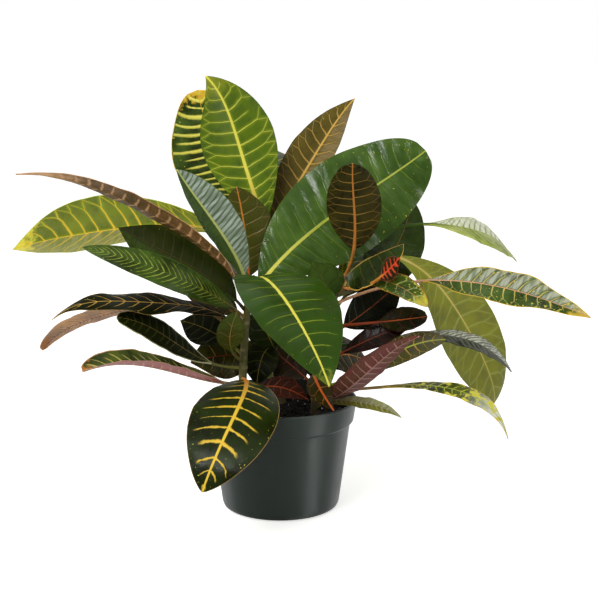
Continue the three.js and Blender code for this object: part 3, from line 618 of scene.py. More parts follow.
class CrotonStageSettings(bpy.types.PropertyGroup):
    """Floor, light and camera."""

    floor: tint("Floor", "#fafaf8", "Colour of the plain floor")
    bounce: number("Bounce", "How pale the floor is to the light it sends up", 0.6, max=1)
    floor_glow: number("Floor glow", "How far the pale floor is lifted towards white", 0.62)
    sky: tint("Surround", "#ffffff", "Colour of the light that comes from all round")
    sky_strength: number("Light behind", "Strength of the light from behind and above", 1.0)
    top_strength: number("Light above", "Strength of the light from straight above", 0.35)
    low_strength: number("Strip below", "Strength of the strip that the pot mirrors on its right", 6.0)
    front_strength: number("Light in front", "Strength of the light from the dim front", 0.12)
    key_power: number("Main light", "Power of the light above the front left", 30, unit="POWER")
    side_power: number("Side light", "Power of the light on the right", 5, unit="POWER")
    glint_power: number("Glint", "Power of the light that only glossy leaves show", 5.5, unit="POWER")
    sheen_power: number("Sheen light", "Power of the light on the left", 4, unit="POWER")
    camera_place: bpy.props.FloatVectorProperty(
        name="Camera", description="Where the camera stands", default=(0.0187, -1.23, 0.448), unit="LENGTH"
    )
    camera_pitch: number("Camera pitch", "How far it looks down", math.radians(10.9), unit="ROTATION")
    focal_pixels: number("Focal length", "Focal length in pixels of the picture", 1250, 100)


# Shader graphs


class Value:
    """What a node gives. Arithmetic and comparisons with it add the nodes for them."""

    def __init__(self, graph, socket):
        self.graph, self.socket = graph, socket

    def __add__(self, other):
        return self.graph.math("ADD", self, other)

    def __sub__(self, other):
        return self.graph.math("SUBTRACT", self, other)

    def __rsub__(self, other):
        return self.graph.math("SUBTRACT", other, self)

    def __mul__(self, other):
        return self.graph.math("MULTIPLY", self, other)

    def __truediv__(self, other):
        return self.graph.math("DIVIDE", self, other)

    def __rtruediv__(self, other):
        return self.graph.math("DIVIDE", other, self)

    def __gt__(self, other):
        return self.graph.math("GREATER_THAN", self, other)

    def __lt__(self, other):
        return self.graph.math("LESS_THAN", self, other)

    def __abs__(self):
        return self.graph.math("ABSOLUTE", self)

    def at_least(self, other):
        return self.graph.math("MAXIMUM", self, other)

    def at_most(self, other):
        return self.graph.math("MINIMUM", self, other)


class Graph:
    """Adds nodes to a tree, with numbers, colours or other nodes' values for their inputs."""

    def __init__(self, tree):
        self.tree = tree

    def add(self, kind, *values, **named):
        """A new node. Values are for its inputs in order, sockets for inputs by name or number."""
        node = self.tree.nodes.new(kind)
        sockets = named.pop("sockets", {})
        for name, value in named.items():
            setattr(node, name, value)
        for key, value in [*enumerate(values), *sockets.items()]:
            self.feed(node.inputs[key], value)
        return node

    def feed(self, socket, value):
        if isinstance(value, Value):
            self.tree.links.new(value.socket, socket)
        else:
            socket.default_value = value

    def get(self, kind, *values, out=0, **named):
        return Value(self, self.add(kind, *values, **named).outputs[out])

    def each(self, node):
        """All that a node gives, by name."""
        return {socket.name: Value(self, socket) for socket in node.outputs}

    def math(self, operation, *values):
        return self.get("ShaderNodeMath", *values, operation=operation)

    def smooth(self, value, low, high, start=0.0, end=1.0):
        """start below low, end above high, and a smooth step between them."""
        return self.get("ShaderNodeMapRange", value, low, high, start, end, interpolation_type="SMOOTHSTEP")

    def fall(self, value, low, high):
        return self.smooth(value, low, high, 1.0, 0.0)

    def mix(self, share, first, second):
        return self.get("ShaderNodeMix", share, out=2, data_type="RGBA", sockets={6: first, 7: second})

    def noise(self, vector, scale, detail=2.0, roughness=0.5):
        sockets = {"Vector": vector, "Scale": scale, "Detail": detail, "Roughness": roughness}
        return self.get("ShaderNodeTexNoise", sockets=sockets)

    def place(self, x, y, z):
        return self.get("ShaderNodeCombineXYZ", x, y, z)

    def split(self, vector, kind="ShaderNodeSeparateXYZ"):
        return self.each(self.add(kind, vector)).values()

    def close(self, **results):
        """Ends a node group with what it gives."""
        for label in results:
            self.tree.interface.new_socket(label, in_out="OUTPUT", socket_type="NodeSocketFloat")
        end = self.tree.nodes.new("NodeGroupOutput")
        for label, value in results.items():
            self.feed(end.inputs[label], value)
        return self.tree


def new_group(name, **inputs):
    """The graph of a new node group, and what the group is given, by name."""
    tree = bpy.data.node_groups.new(name, "ShaderNodeTree")
    for label, value in inputs.items():
        label = label.replace("_", " ")
        tree.interface.new_socket(label, in_out="INPUT", socket_type="NodeSocketFloat").default_value = value
    g = Graph(tree)
    return g, g.each(tree.nodes.new("NodeGroupInput"))


def blade_place(g):
    """Where a point lies on its leaf: share along, share across from -1 to 1, count of veins from the
    stalk, and half the blade's width there."""
    maps = [g.split(g.get("ShaderNodeUVMap", uv_map=name)) for name in ("Blade", "Veins")]
    (along, across, _), (count, half, _) = maps
    return along, across, count, half


def vein_group(name):
    """Masks of a leaf's midrib, side veins, the tint beside them and its margin, and their relief.

    The second map counts veins: each whole number starts a cell with one vein in its middle. Beyond
    Fork a vein splits, and its halves meet those of the next veins in arches along the margin.
    Pillow is 0 on a vein and 1 midway between two. Ragged makes the veins' widths uneven.
    """
    g, given = new_group(
        name, Spacing=11.0, Vein_Width=0.5, Reach=0.9, Fork=0.7, Ragged=0.3, Midrib=1.5, Margin=0.5
    )
    along, across, count, half = blade_place(g)
    fork, out, cell = given["Fork"], abs(across), g.math("FLOOR", count)
    draw = g.get("ShaderNodeTexWhiteNoise", out=1, noise_dimensions="1D", sockets={"W": cell})
    wide_chance, far_chance, _ = g.split(draw, "ShaderNodeSeparateColor")
    sway = g.noise(g.place(out * 3.5, cell * 7.3, 0.0), 1.0, 1.0)
    offset = abs(sway * 0.16 + (g.math("FRACT", count) - 0.58))
    past_fork = (out - fork).at_least(0.0)
    spread = (past_fork * (0.5 / (0.985 - fork))).at_most(0.5)
    gap = abs(offset - spread) * given["Spacing"]

    taper = (out * -0.6 + 1.15) * ((past_fork > 0.0) * -0.3 + 1.0)
    swell = g.noise(g.place(out * 7.0, cell * 3.7, 5.0), 1.0, 2.0)
    uneven = (wide_chance * 0.7 + 0.65 + (swell - 0.45) * (given["Ragged"] * 4.0)).at_least(0.2)
    width = given["Vein Width"] * taper * uneven
    vein = g.fall(gap, width * 0.4, width * 1.6)
    reach = given["Reach"] * (far_chance * 0.4 + 0.75)
    reach = reach + (reach > fork) * 0.3
    ends = g.smooth(along, 0.0, 0.03) * g.fall(along, 0.95, 1.0)
    shown = g.fall(out, reach - 0.2, reach) * ends

    from_midrib = out * half
    midrib_width = given["Midrib"] * (along.at_least(0.0) * -0.62 + 1.0)
    midrib = g.fall(from_midrib, midrib_width * 0.7, midrib_width * 1.15)
    beside_midrib = g.fall(from_midrib - midrib_width, 0.0, 4.0)
    margin = g.fall(half - from_midrib, given["Margin"] * 0.6, given["Margin"])
    return g.close(
        Midrib=midrib.at_least(along < 0.0),
        Veins=vein * shown,
        Near=(g.fall(gap, 0.0, 3.4) * shown).at_least(beside_midrib),
        Margin=margin * g.smooth(along, 0.0, 0.02),
        Relief=(g.fall(gap, 0.0, 1.2) * shown).at_least(midrib),
        Pillow=g.smooth(offset, 0.05, 0.32),
    )


def mottle_group(name):
    """Clouds, a fine net and streaks over a blade, the colour of its tip, and small flecks and larger
    blotches that crowd towards the tip and the margin. The streaks break up the colour over half a
    blade, which is mostly a painted sheen."""
    g, given = new_group(name, Length=150.0, Seed=0.0, Flecks=0.3, Blotches=0.0, Tip_From=0.8)
    along, across, _, half = blade_place(g)
    x, y = along * given["Length"], across * half
    spot = g.place(x, y, given["Seed"] * 37.0)
    level = 0.86 - (abs(across) * 0.09 + along * 0.09)
    fleck_level = level - given["Flecks"] * 0.16
    flecks = g.smooth(g.noise(spot, 0.38, 2.0, 0.7), fleck_level, fleck_level + 0.05)
    blotch_level = level - given["Blotches"] * 0.3
    large = g.noise(spot, 0.11, 3.0, 0.65)
    blotches = g.smooth(large, blotch_level, blotch_level + 0.04)
    net = g.get("ShaderNodeTexVoronoi", feature="DISTANCE_TO_EDGE", sockets={"Vector": spot, "Scale": 0.45})
    start = given["Tip From"]
    return g.close(
        Clouds=g.smooth(g.noise(spot, 0.035, 3.0, 0.6), 0.3, 0.7),
        Flecks=flecks.at_least(blotches * (given["Blotches"] > 0.01)),
        Net=g.fall(net, 0.0, 0.12),
        Tip=g.smooth(along + (large * 0.3 - 0.15), start, start * 0.3 + 0.7),
        Streaks=g.smooth(g.noise(g.place(x * 0.3, y * 0.045, given["Seed"]), 1.0, 2.0), 0.4, 0.62),
    )


def grain_group(name):
    """Fine relief and clouds for bark, soil and moulded plastic, in millimetres."""
    g, given = new_group(name, Grain_Size=1.0, Cloud_Size=20.0, Stretch=1.0)
    x, y, z = g.split(g.get("ShaderNodeTexCoord", out="Object"))
    place = g.place(x, y, z / given["Stretch"])
    spot = g.get("ShaderNodeVectorMath", place, (1 / MM,) * 3, operation="MULTIPLY")
    fine, wide = 1.0 / given["Grain Size"], 1.0 / given["Cloud Size"]
    return g.close(
        Grain=g.noise(spot, fine, 3.0, 0.6),
        Clouds=g.smooth(g.noise(spot, wide, 4.0, 0.6), 0.35, 0.7),
        Specks=g.smooth(g.noise(spot, fine * 0.4, 1.0), 0.66, 0.72),
    )


GROUPS = {"Leaf Veins": vein_group, "Leaf Mottle": mottle_group, "Surface Grain": grain_group}


def placed_group(g, name, **values):
    """What a group gives in a material, by name. The first that asks for it has it built."""
    node = g.add("ShaderNodeGroup", node_tree=bpy.data.node_groups.get(name) or GROUPS[name](name))
    for label, value in values.items():
        g.feed(node.inputs[label.replace("_", " ")], value)
    return g.each(node)


def new_material(name):
    material = bpy.data.materials.new(name)
    material.use_nodes = True
    return material, Graph(material.node_tree), material.node_tree.nodes["Principled BSDF"].inputs


def bumped(g, height, distance):
    """A normal from a height that runs from 0 to 1 over a distance in millimetres."""
    return g.get("ShaderNodeBump", sockets={"Strength": 1.0, "Distance": distance * MM, "Height": height})


def leaf_material(name, finish, length, seed):
    """One leaf's material: its upper face and its back, each with blade, veins, midrib and margin."""
    settings = bpy.context.scene.croton_leaves

    def paint(key):
        return getattr(settings, finish[key])

    def coated(first, *coats):
        """A colour with others laid over it in turn, each by its share."""
        for share, key in coats:
            first = g.mix(share, first, paint(key))
        return first

    material, g, shader = new_material(name)
    shared = ("spacing", "vein_width", "reach", "fork", "ragged", "midrib")
    sizes = {key.title(): finish[key] for key in shared}
    veins = placed_group(g, "Leaf Veins", **sizes, Margin=finish["margin_width"])
    marks = {key.title(): finish[key] for key in ("flecks", "blotches", "tip_from")}
    mottle = placed_group(g, "Leaf Mottle", **marks, Length=length, Seed=seed)
    clouds, net, near_share = mottle["Clouds"], mottle["Net"], finish["near_share"]
    back = g.get("ShaderNodeAttribute", out="Fac", attribute_name="back")
    along, across, _ = g.split(g.get("ShaderNodeUVMap", uv_map="Blade"))
    tip = mottle["Tip"] * finish["tip_share"]

    front = g.mix(clouds, paint("shade"), paint("blade"))
    front = coated(front, (net * (0.12 * near_share + 0.02), "near"), (veins["Near"] * near_share, "near"))
    # Over half of some blades: mostly a painted reflection, a pale sheen streaked and broken by ribs along
    # the veins; on great_right painted shade.
    if finish["half_share"]:
        side = g.smooth(across * finish["half_side"], 0.0, finish["half_from"])
        ribs = veins["Pillow"] * finish["ribs"] + (1 - finish["ribs"])
        side = side * (mottle["Streaks"] * 0.55 + 0.45) * ribs * finish["half_share"]
        front = coated(front, (side, "half"))
    strength = (abs(across) * -0.35 + 1.05) * finish["vein_share"]
    front = coated(
        front, (tip, "tip"), (mottle["Flecks"], "fleck"), (veins["Veins"] * strength, "vein"),
        (veins["Margin"], "margin"),
    )
    midrib = g.mix(g.smooth(along, -0.02, 0.45), paint("stalk"), paint("ends"))
    front = g.mix(veins["Midrib"], front, midrib)
    behind = coated(
        g.mix(clouds, paint("under"), paint("under_shade")), (tip, "tip"), (net * 0.15, "under_vein"),
        (veins["Veins"] * 0.75, "under_vein"), (veins["Margin"], "margin"),
        (veins["Midrib"] * 0.9, "under_midrib"), (along < 0.0, "stalk"),
    )
    g.feed(shader["Base Color"], g.mix(back, front, behind))
    roughness = clouds * 0.08 + (finish["roughness"] - 0.04) + veins["Midrib"] * 0.12
    g.feed(shader["Roughness"], roughness + back * (finish["under_roughness"] - finish["roughness"]))
    g.feed(shader["Normal"], bumped(g, net * -0.1 + veins["Relief"], 0.25))
    g.feed(shader["Specular IOR Level"], finish["gloss"])
    return material


# Meshes


def add_piece(name, points, faces, smooth=True):
    """A mesh object in the scene, with points in millimetres."""
    mesh = bpy.data.meshes.new(name)
    mesh.from_pydata((np.asarray(points, float) * MM).tolist(), [], faces)
    mesh.polygons.foreach_set("use_smooth", np.full(len(mesh.polygons), smooth))
    mesh.update()
    piece = bpy.data.objects.new(name, mesh)
    bpy.context.scene.collection.objects.link(piece)
    return piece


def finish_piece(piece, slot, material, *nodes):
    """Gives a piece its material and its place in the frame: its body, and hides the nodes it stands for.
    The slot is not used.
    """
    piece.data.materials.append(material)
    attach(piece, "root")
    if nodes:
        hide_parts(*nodes)


def ring_faces(rings, count, closed_ends=True):
    """Quads between rings of equally many points, and one face over each end."""
    faces = []
    for i in range(rings - 1):
        for j in range(count):
            a, b = i * count + j, i * count + (j + 1) % count
            faces.append((a, b, b + count, a + count))
    if closed_ends:
        last = (rings - 1) * count
        faces += [tuple(range(count - 1, -1, -1)), tuple(range(last, last + count))]
    return faces


def unit(v):
    return v / np.linalg.norm(v, axis=-1, keepdims=True)


def stem_rise(stem, height):
    """How far up a stem a height lies, from 0 at the soil to 1 at the crown."""
    return max(0.0, (height - SOIL_TOP) / (STEMS[stem]["crown"] - SOIL_TOP))


def stem_centre(stem, height):
    foot, lean, rise = STEMS[stem]["foot"], STEMS[stem]["lean"], stem_rise(stem, height)
    return np.array([foot[0] + lean[0] * rise**2, foot[1] + lean[1] * rise**2, height])


def stem_radius(stem, height):
    return STEM_RADIUS + (STEM_TOP_RADIUS - STEM_RADIUS) * stem_rise(stem, height)


class Midrib:
    """The curve through a leaf's points, measured along its length."""

    SAMPLES = 201
    NUDGE = 1e-4

    def __init__(self, points):
        self.points = np.array(points, float)
        steps = np.linalg.norm(np.diff(self.points, axis=0), axis=1)
        self.knots = np.concatenate([[0], np.cumsum(steps)]) / steps.sum()
        self.shares = np.linspace(0, 1, self.SAMPLES)
        laid = np.linalg.norm(np.diff(self.at(self.shares), axis=0), axis=1)
        self.reach = np.concatenate([[0], np.cumsum(laid)])
        self.length = self.reach[-1]

    def at(self, t):
        place = np.zeros((len(t), 3))
        for i, point in enumerate(self.points):
            weight = np.ones(len(t))
            for j, knot in enumerate(self.knots):
                if j != i:
                    weight *= (t - knot) / (self.knots[i] - knot)
            place += weight[:, None] * point
        return place

    def walk(self, distances):
        """Points and directions at distances from the start. Those before the start go straight back."""
        t = np.interp(distances, self.reach, self.shares)
        run = unit(self.at(np.minimum(t + self.NUDGE, 1)) - self.at(np.maximum(t - self.NUDGE, 0)))
        return self.at(t) + run * np.minimum(distances, 0)[:, None], run


def vein_places(draw, spacing, length):
    """Where one side's veins leave the midrib, as shares along the blade, at uneven spacings."""
    count = max(4, round(length / spacing))
    aside = draw.uniform(-SPACING_SHARE, SPACING_SHARE, count + 3)
    return np.sort((np.arange(count + 3) - 1 + aside) / count)


def leaf_points(row, curve, settings, draw, sunk):
    """Rings of points for a leaf, and what its maps hold at each point."""
    stalk, finish = row["stalk"], row["finish"]
    blade_length = curve.length - stalk
    # Rows of points: shares of the blade's length, a little closer at its two ends, after the stalk's.
    t = np.linspace(0, 1, int(np.clip(blade_length / settings.step, *BLADE_ROWS)))
    t = t - 0.1 * np.sin(2 * np.pi * t) / (2 * np.pi)
    stalk_rows = max(3, int(stalk / STALK_STEP))
    before = np.concatenate([[-sunk], np.linspace(0, stalk, stalk_rows, endpoint=False)])
    distance = np.concatenate([before, stalk + t * blade_length])
    along = np.concatenate([(before - stalk) / blade_length, t])
    middle, run = curve.walk(distance)
    first_side = unit(np.cross(unit(curve.points[-1] - curve.points[0]), row["faces"]))
    side = unit(first_side - run * (run @ first_side)[:, None])
    up = unit(np.cross(side, run))

    # Half the width along the stalk, which swells at its foot, and along the blade's outline. blade
    # goes from 0 on the round stalk to 1 where the leaf is flat.
    on_blade, a = along >= 0, np.clip(along, 0, 1)
    power = row["base"] + (row["point"] - row["base"]) * a
    swell = np.where(on_blade, np.sin(np.pi * a ** row["fullest"]).clip(0) ** power, 0)
    least = np.where(along > 0.5, TIP_HALF_WIDTH, STALK_RADIUS)
    half = np.maximum(least, row["width"] / 2 * swell)
    foot = 1 + FOOT_SWELL * np.exp(-((distance / FOOT_SWELL_LENGTH) ** 2))
    half = np.where(on_blade, half, STALK_RADIUS * foot)
    blade = np.clip((half - STALK_RADIUS) / (FLAT_HALF_WIDTH - STALK_RADIUS), 0, 1)
    blade = np.where(along > 0.5, 1, np.where(along > 0, blade, 0))

    # The middle surface's lift across each ring: fold, curl, large waves and small ripples.
    right = np.arange(settings.columns + 1) / settings.columns
    across = np.concatenate([-right[:0:-1], right])
    u = np.sign(across) * np.abs(across) ** 1.15
    u = np.broadcast_to(u, (len(along), len(u)))
    v, h, b, s, far = along[:, None], half[:, None], blade[:, None], swell[:, None], np.abs(u)
    lift = h * (row["fold"] * (np.sqrt(u**2 + 0.0008) - 0.028) - row["curl"] * u**2) * b
    turn = 3 * v + np.where(u < 0, 0.4, 0)
    lift = lift + row["wave"] * np.sin(2 * np.pi * turn) * far**1.5 * s
    phases = draw.uniform(0, 2 * np.pi, (3, 2))
    ripple = 0
    for k, waves in enumerate(RIPPLES):
        phase = np.where(u < 0, phases[k, 0], phases[k, 1])
        ripple = ripple + np.sin(2 * np.pi * waves * v + phase) / (1 + k)
    lift = lift + settings.ripple * 0.5 * ripple * far**3 * s

    # The count of veins at each point, and the swelling between them.
    places = [vein_places(draw, finish["spacing"], blade_length) for _ in range(2)]
    root = v - (0.55 * far + 0.45 * u**2) * finish["lean"] * finish["spacing"] / blade_length
    counts = [np.interp(root, at, np.arange(len(at))) + COUNT_STEP * k for k, at in enumerate(places)]
    count = np.where(u < 0, *counts)
    part = np.abs(count - np.floor(count) - 0.5)
    pillow = 1 - np.exp(-((part / GROOVE_SHARE) ** 2))
    shown = b * np.clip(h / 20, 0, 1) * np.clip((1 - far) / 0.25, 0, 1) * np.clip(far * h / 4, 0, 1)
    lift = lift + finish["quilt"] * (pillow - 0.6) * shown * (v > 0)

    # Upper face and back: round on the stalk, with the midrib above and its keel below.
    round_part = np.sqrt(np.clip(1 - u**2, 0, 1)) * (1 - b)
    rib = np.exp(-((far * h / RIB_WIDTH) ** 2))
    keel = settings.keel * (1 - 0.7 * a[:, None]) * np.exp(-((far * h / KEEL_WIDTH) ** 2)) * b
    upper = lift + STALK_RADIUS * 0.75 * round_part + RIB_HEIGHT * rib * b
    depth = settings.thickness * np.clip((1 - far) * h / 1.2, 0, 1) ** 0.5 * b
    lower = lift - depth - keel - STALK_RADIUS * 1.3 * round_part
    place = middle[:, None, :] + side[:, None, :] * (u * h)[..., None]
    top, under = (place + up[:, None, :] * level[..., None] for level in (upper, lower))
    return top, under, along, across, half, counts


def set_map(mesh, name, x, y):
    layer = mesh.uv_layers.new(name=name)
    layer.data.foreach_set("uv", np.stack([x, y], axis=1).astype(np.float32).ravel())


def mark_margins(mesh, count, columns):
    """Keeps the two margins crisp, where the upper face and the back meet."""
    ends = np.empty(len(mesh.edges) * 2, int)
    mesh.edges.foreach_get("vertices", ends)
    first, second = ends.reshape(-1, 2).T
    sharp = np.isin(first % count, columns) & (first % count == second % count)
    mesh.attributes.new("sharp_edge", "BOOLEAN", "EDGE").data.foreach_set("value", sharp)


def add_leaf(name, row, start, node, slot, index, sunk=3.0):
    """One leaf: a blade with quilted faces, a keel below, a stalk, and maps for its veins."""
    settings = bpy.context.scene.croton_leaves
    draw = np.random.default_rng(LEAF_SEED + index)
    curve = Midrib([start, *row["curve"]])
    top, under, along, across, half, counts = leaf_points(row, curve, settings, draw, sunk)
    rows, columns = top.shape[:2]
    ring = np.concatenate([top, under[:, -2:0:-1]], axis=1)
    count = ring.shape[1]
    piece = add_piece(name, ring.reshape(-1, 3), ring_faces(rows, count))
    mesh = piece.data

    # Each loop's place on the grid: its row, its column across, and whether its face is on the back.
    loops = np.empty(len(mesh.loops), int)
    mesh.loops.foreach_get("vertex_index", loops)
    sizes = np.empty(len(mesh.polygons), int)
    mesh.polygons.foreach_get("loop_total", sizes)
    face_of = np.repeat(np.arange(len(sizes)), sizes)
    first = face_of % count
    face_back = (np.arange(len(sizes)) % count >= columns - 1).astype(np.float32)
    face_back[-2:] = 0
    is_back = face_back[face_of] > 0
    row_of, spot = loops // count, loops % count
    column = np.where(spot < columns, spot, 2 * columns - 2 - spot)
    middle = columns // 2
    on_left = np.where(is_back, first >= columns - 1 + middle, first < middle)
    half_here = half[row_of]
    set_map(mesh, "Blade", along[row_of], across[column])
    set_map(mesh, "Veins", np.where(on_left, *(side[row_of, column] for side in counts)), half_here)
    # The map for baking lays the upper face above the back, each about the middle of its half.
    share = (along[row_of] - along[0]) / (along[-1] - along[0])
    spread = across[column] * half_here / half.max() * 0.235
    set_map(mesh, "OFBake", 0.01 + 0.98 * share, np.where(is_back, 0.25 - spread, 0.75 + spread))
    mesh.attributes.new("back", "FLOAT", "FACE").data.foreach_set("value", face_back)
    mark_margins(mesh, count, (0, columns - 1))
    finish_piece(piece, slot, leaf_material(name, row["finish"], curve.length - row["stalk"], index), node)


# Pot


def soften(profile, radius):
    """The same line of points with each of its inner corners rounded."""
    points = [np.array(p, float) for p in profile]
    softened = [points[0]]
    for before, corner, after in zip(points, points[1:], points[2:]):
        to_before, to_after = before - corner, after - corner
        cut = min(radius, 0.45 * np.linalg.norm(to_before), 0.45 * np.linalg.norm(to_after))
        start, end = corner + unit(to_before) * cut, corner + unit(to_after) * cut
        for t in (0, 0.33, 0.67, 1):
            softened.append((1 - t) ** 2 * start + 2 * t * (1 - t) * corner + t**2 * end)
    return [*softened, points[-1]]


def lathe(profile, sides):
    """Points and faces of a closed solid turned about the pot's axis. Its profile starts and ends there."""
    angles = np.arange(sides) / sides * 2 * np.pi
    rings = [(r * np.cos(angles), r * np.sin(angles), np.full(sides, z)) for r, z in profile[1:-1]]
    points = np.stack([np.stack(ring, axis=1) for ring in rings]).reshape(-1, 3)
    faces = ring_faces(len(rings), sides, closed_ends=False)
    low, high = len(points), len(points) + 1
    top = (len(rings) - 1) * sides
    for j in range(sides):
        k = (j + 1) % sides
        faces += [(k, j, low), (top + j, top + k, high)]
    points = np.concatenate([points, [(0, 0, profile[0][1]), (0, 0, profile[-1][1])]])
    return points, faces


class CROTON_OT_pot(bpy.types.Operator):
    """Make the tapered pot with its band, rolled lip and drain holes."""

    bl_idname = "croton.pot"
    bl_label = "Pot"

    def execute(self, context):
        settings = context.scene.croton_pot
        lip, band = POT_WALL / 2, BAND_FOOT + POT_WALL
        outside = [
            (0, 0), (FOOT_FLAT_RADIUS, 0), (FOOT_RADIUS - 1.2, 1.5), (FOOT_RADIUS, FOOT_ROUND_HEIGHT),
            (WALL_TOP_RADIUS, BAND_FOOT - STEP_HEIGHT), (RIM_FOOT_RADIUS, BAND_FOOT),
            (RIM_RADIUS - 0.35, POT_HEIGHT - 2.6), (RIM_RADIUS, POT_HEIGHT - 1.8),
            (RIM_RADIUS, POT_HEIGHT - lip),
        ]
        inside = [
            (RIM_RADIUS - lip / 2, POT_HEIGHT), (RIM_RADIUS - POT_WALL - lip / 2, POT_HEIGHT),
            (RIM_FOOT_RADIUS - POT_WALL, band), (WALL_TOP_RADIUS - POT_WALL, band - STEP_HEIGHT),
            (FOOT_RADIUS - POT_WALL, FOOT_ROUND_HEIGHT), (FOOT_FLAT_RADIUS, POT_FLOOR), (0, POT_FLOOR),
        ]
        pot = add_piece("pot_shell", *lathe(soften(outside + inside, CORNER_RADIUS), settings.sides))
        holes = [self.drain_hole(pot, (i + 0.5) / DRAIN_HOLES * 2 * math.pi) for i in range(DRAIN_HOLES)]
        shown = pot.evaluated_get(context.evaluated_depsgraph_get())
        mesh = bpy.data.meshes.new_from_object(shown)
        pot.modifiers.clear()
        pot.data = mesh
        for hole in holes:
            bpy.data.objects.remove(hole)
        pot.data.set_sharp_from_angle(angle=SHARP_ANGLE)
        finish_piece(pot, "pot", self.plastic(settings), "pot")
        return {"FINISHED"}

    def drain_hole(self, pot, bearing):
        """A cylinder that cuts the pot's floor."""
        reach = DRAIN_CIRCLE_RADIUS * MM
        bpy.ops.mesh.primitive_cylinder_add(
            vertices=24, radius=DRAIN_HOLE_RADIUS * MM, depth=4 * POT_FLOOR * MM,
            location=(reach * math.cos(bearing), reach * math.sin(bearing), 0),
        )
        cut = pot.modifiers.new("Drain hole", "BOOLEAN")
        cut.object, cut.operation, cut.solver = bpy.context.object, "DIFFERENCE", "EXACT"
        return cut.object

    def plastic(self, settings):
        """Dark satin plastic, rubbed at its foot and lip, with dried soil inside the rim and at the foot."""
        material, g, shader = new_material("pot_plastic")
        grain = placed_group(g, "Surface Grain", Grain_Size=0.7, Cloud_Size=26.0, Stretch=2.5)
        clouds = grain["Clouds"]
        x, y, z = g.split(g.get("ShaderNodeTexCoord", out="Object"))
        height, radius = z / MM, g.math("SQRT", x * x + y * y) / MM
        lip = g.smooth(height, POT_HEIGHT - 1.4, POT_HEIGHT, 0.0, 0.6)
        worn = g.smooth(height, 0.5, 4.0, 0.7, 0.0).at_least(lip) * clouds
        colour = g.mix(clouds * 0.12, settings.colour, settings.worn_colour)
        colour = g.mix(grain["Specks"] * 0.08 + worn, colour, settings.worn_colour)
        inside = g.fall(height, BAND_FOOT, POT_HEIGHT - 6) * (radius < RIM_FOOT_RADIUS - 0.4)
        dusty = inside * g.smooth(height, SOIL_TOP - 3, SOIL_TOP)
        dusty = dusty.at_least(g.smooth(height, 0.0, 9.0, 0.35, 0.0)) * clouds
        g.feed(shader["Base Color"], g.mix(dusty, colour, settings.dust_colour))
        g.feed(shader["Roughness"], dusty * 0.3 + (clouds * 0.1 + 0.36))
        g.feed(shader["Normal"], bumped(g, grain["Grain"], 0.05))
        return material


# Soil


def soil_height(x, y):
    """Height of the dressed soil: the solid's low lumps, with crumbs between them."""
    lumps = np.sin(x / 7 + 1) * np.cos(y / 6) + 0.6 * np.sin(x / 3.5 - y / 4.5)
    rise = 1.6 * lumps * np.clip(1 - np.hypot(x, y) / WALL_TOP_RADIUS, 0, 1)
    rough = [noise.fractal(Vector((a * 0.3, b * 0.3, 4.0)), 0.6, 2.2, 4) for a, b in zip(x, y)]
    return SOIL_TOP + 0.4 + rise + 1.1 * np.array(rough)


def lump_shape(subdivisions):
    """Points and faces of a round lump of radius 1."""
    bpy.ops.mesh.primitive_ico_sphere_add(subdivisions=subdivisions, radius=1)
    ball = bpy.context.object
    points = np.array([v.co for v in ball.data.vertices])
    faces = np.array([p.vertices for p in ball.data.polygons])
    bpy.data.objects.remove(ball)
    return points, faces


def scatter(draw, count, shape, sizes, flatness, reach):
    """Lumps strewn over the soil, clear of the stems, as one set of points and faces."""
    base, faces = shape
    points, all_faces = [], []
    while len(points) < count:
        angle, radius = draw.uniform(0, 2 * np.pi), reach * np.sqrt(draw.uniform())
        x, y = radius * np.cos(angle), radius * np.sin(angle)
        clear = all(np.hypot(x - s["foot"][0], y - s["foot"][1]) > STEM_RADIUS + 1 for s in STEMS.values())
        size = draw.uniform(*sizes) * draw.uniform(0.6, 1)
        dented = base * (1 + draw.uniform(-0.22, 0.22, len(base)))[:, None]
        turn = np.array(Quaternion(unit(draw.normal(size=4))).to_matrix())
        turned = (dented * size * np.array([1, *flatness])) @ turn.T
        if not clear:
            continue
        ground = float(soil_height(np.array([x]), np.array([y]))[0])
        all_faces.append(faces + len(points) * len(base))
        points.append(turned + (x, y, ground + 0.3 * size * min(flatness)))
    return np.concatenate(points), np.concatenate(all_faces).tolist()


def earth_material(name, colour, shade, size, relief, roughness):
    """A grainy finish that goes from a colour to a share of it."""
    material, g, shader = new_material(name)
    grain = placed_group(g, "Surface Grain", Grain_Size=size, Cloud_Size=6.0, Stretch=1.0)
    dark = [part * shade for part in colour[:3]] + [1.0]
    g.feed(shader["Base Color"], g.mix(grain["Grain"] * 0.7 + grain["Clouds"] * 0.3, colour, dark))
    g.feed(shader["Roughness"], grain["Clouds"] * 0.15 + roughness)
    g.feed(shader["Normal"], bumped(g, grain["Grain"], relief))
    return material


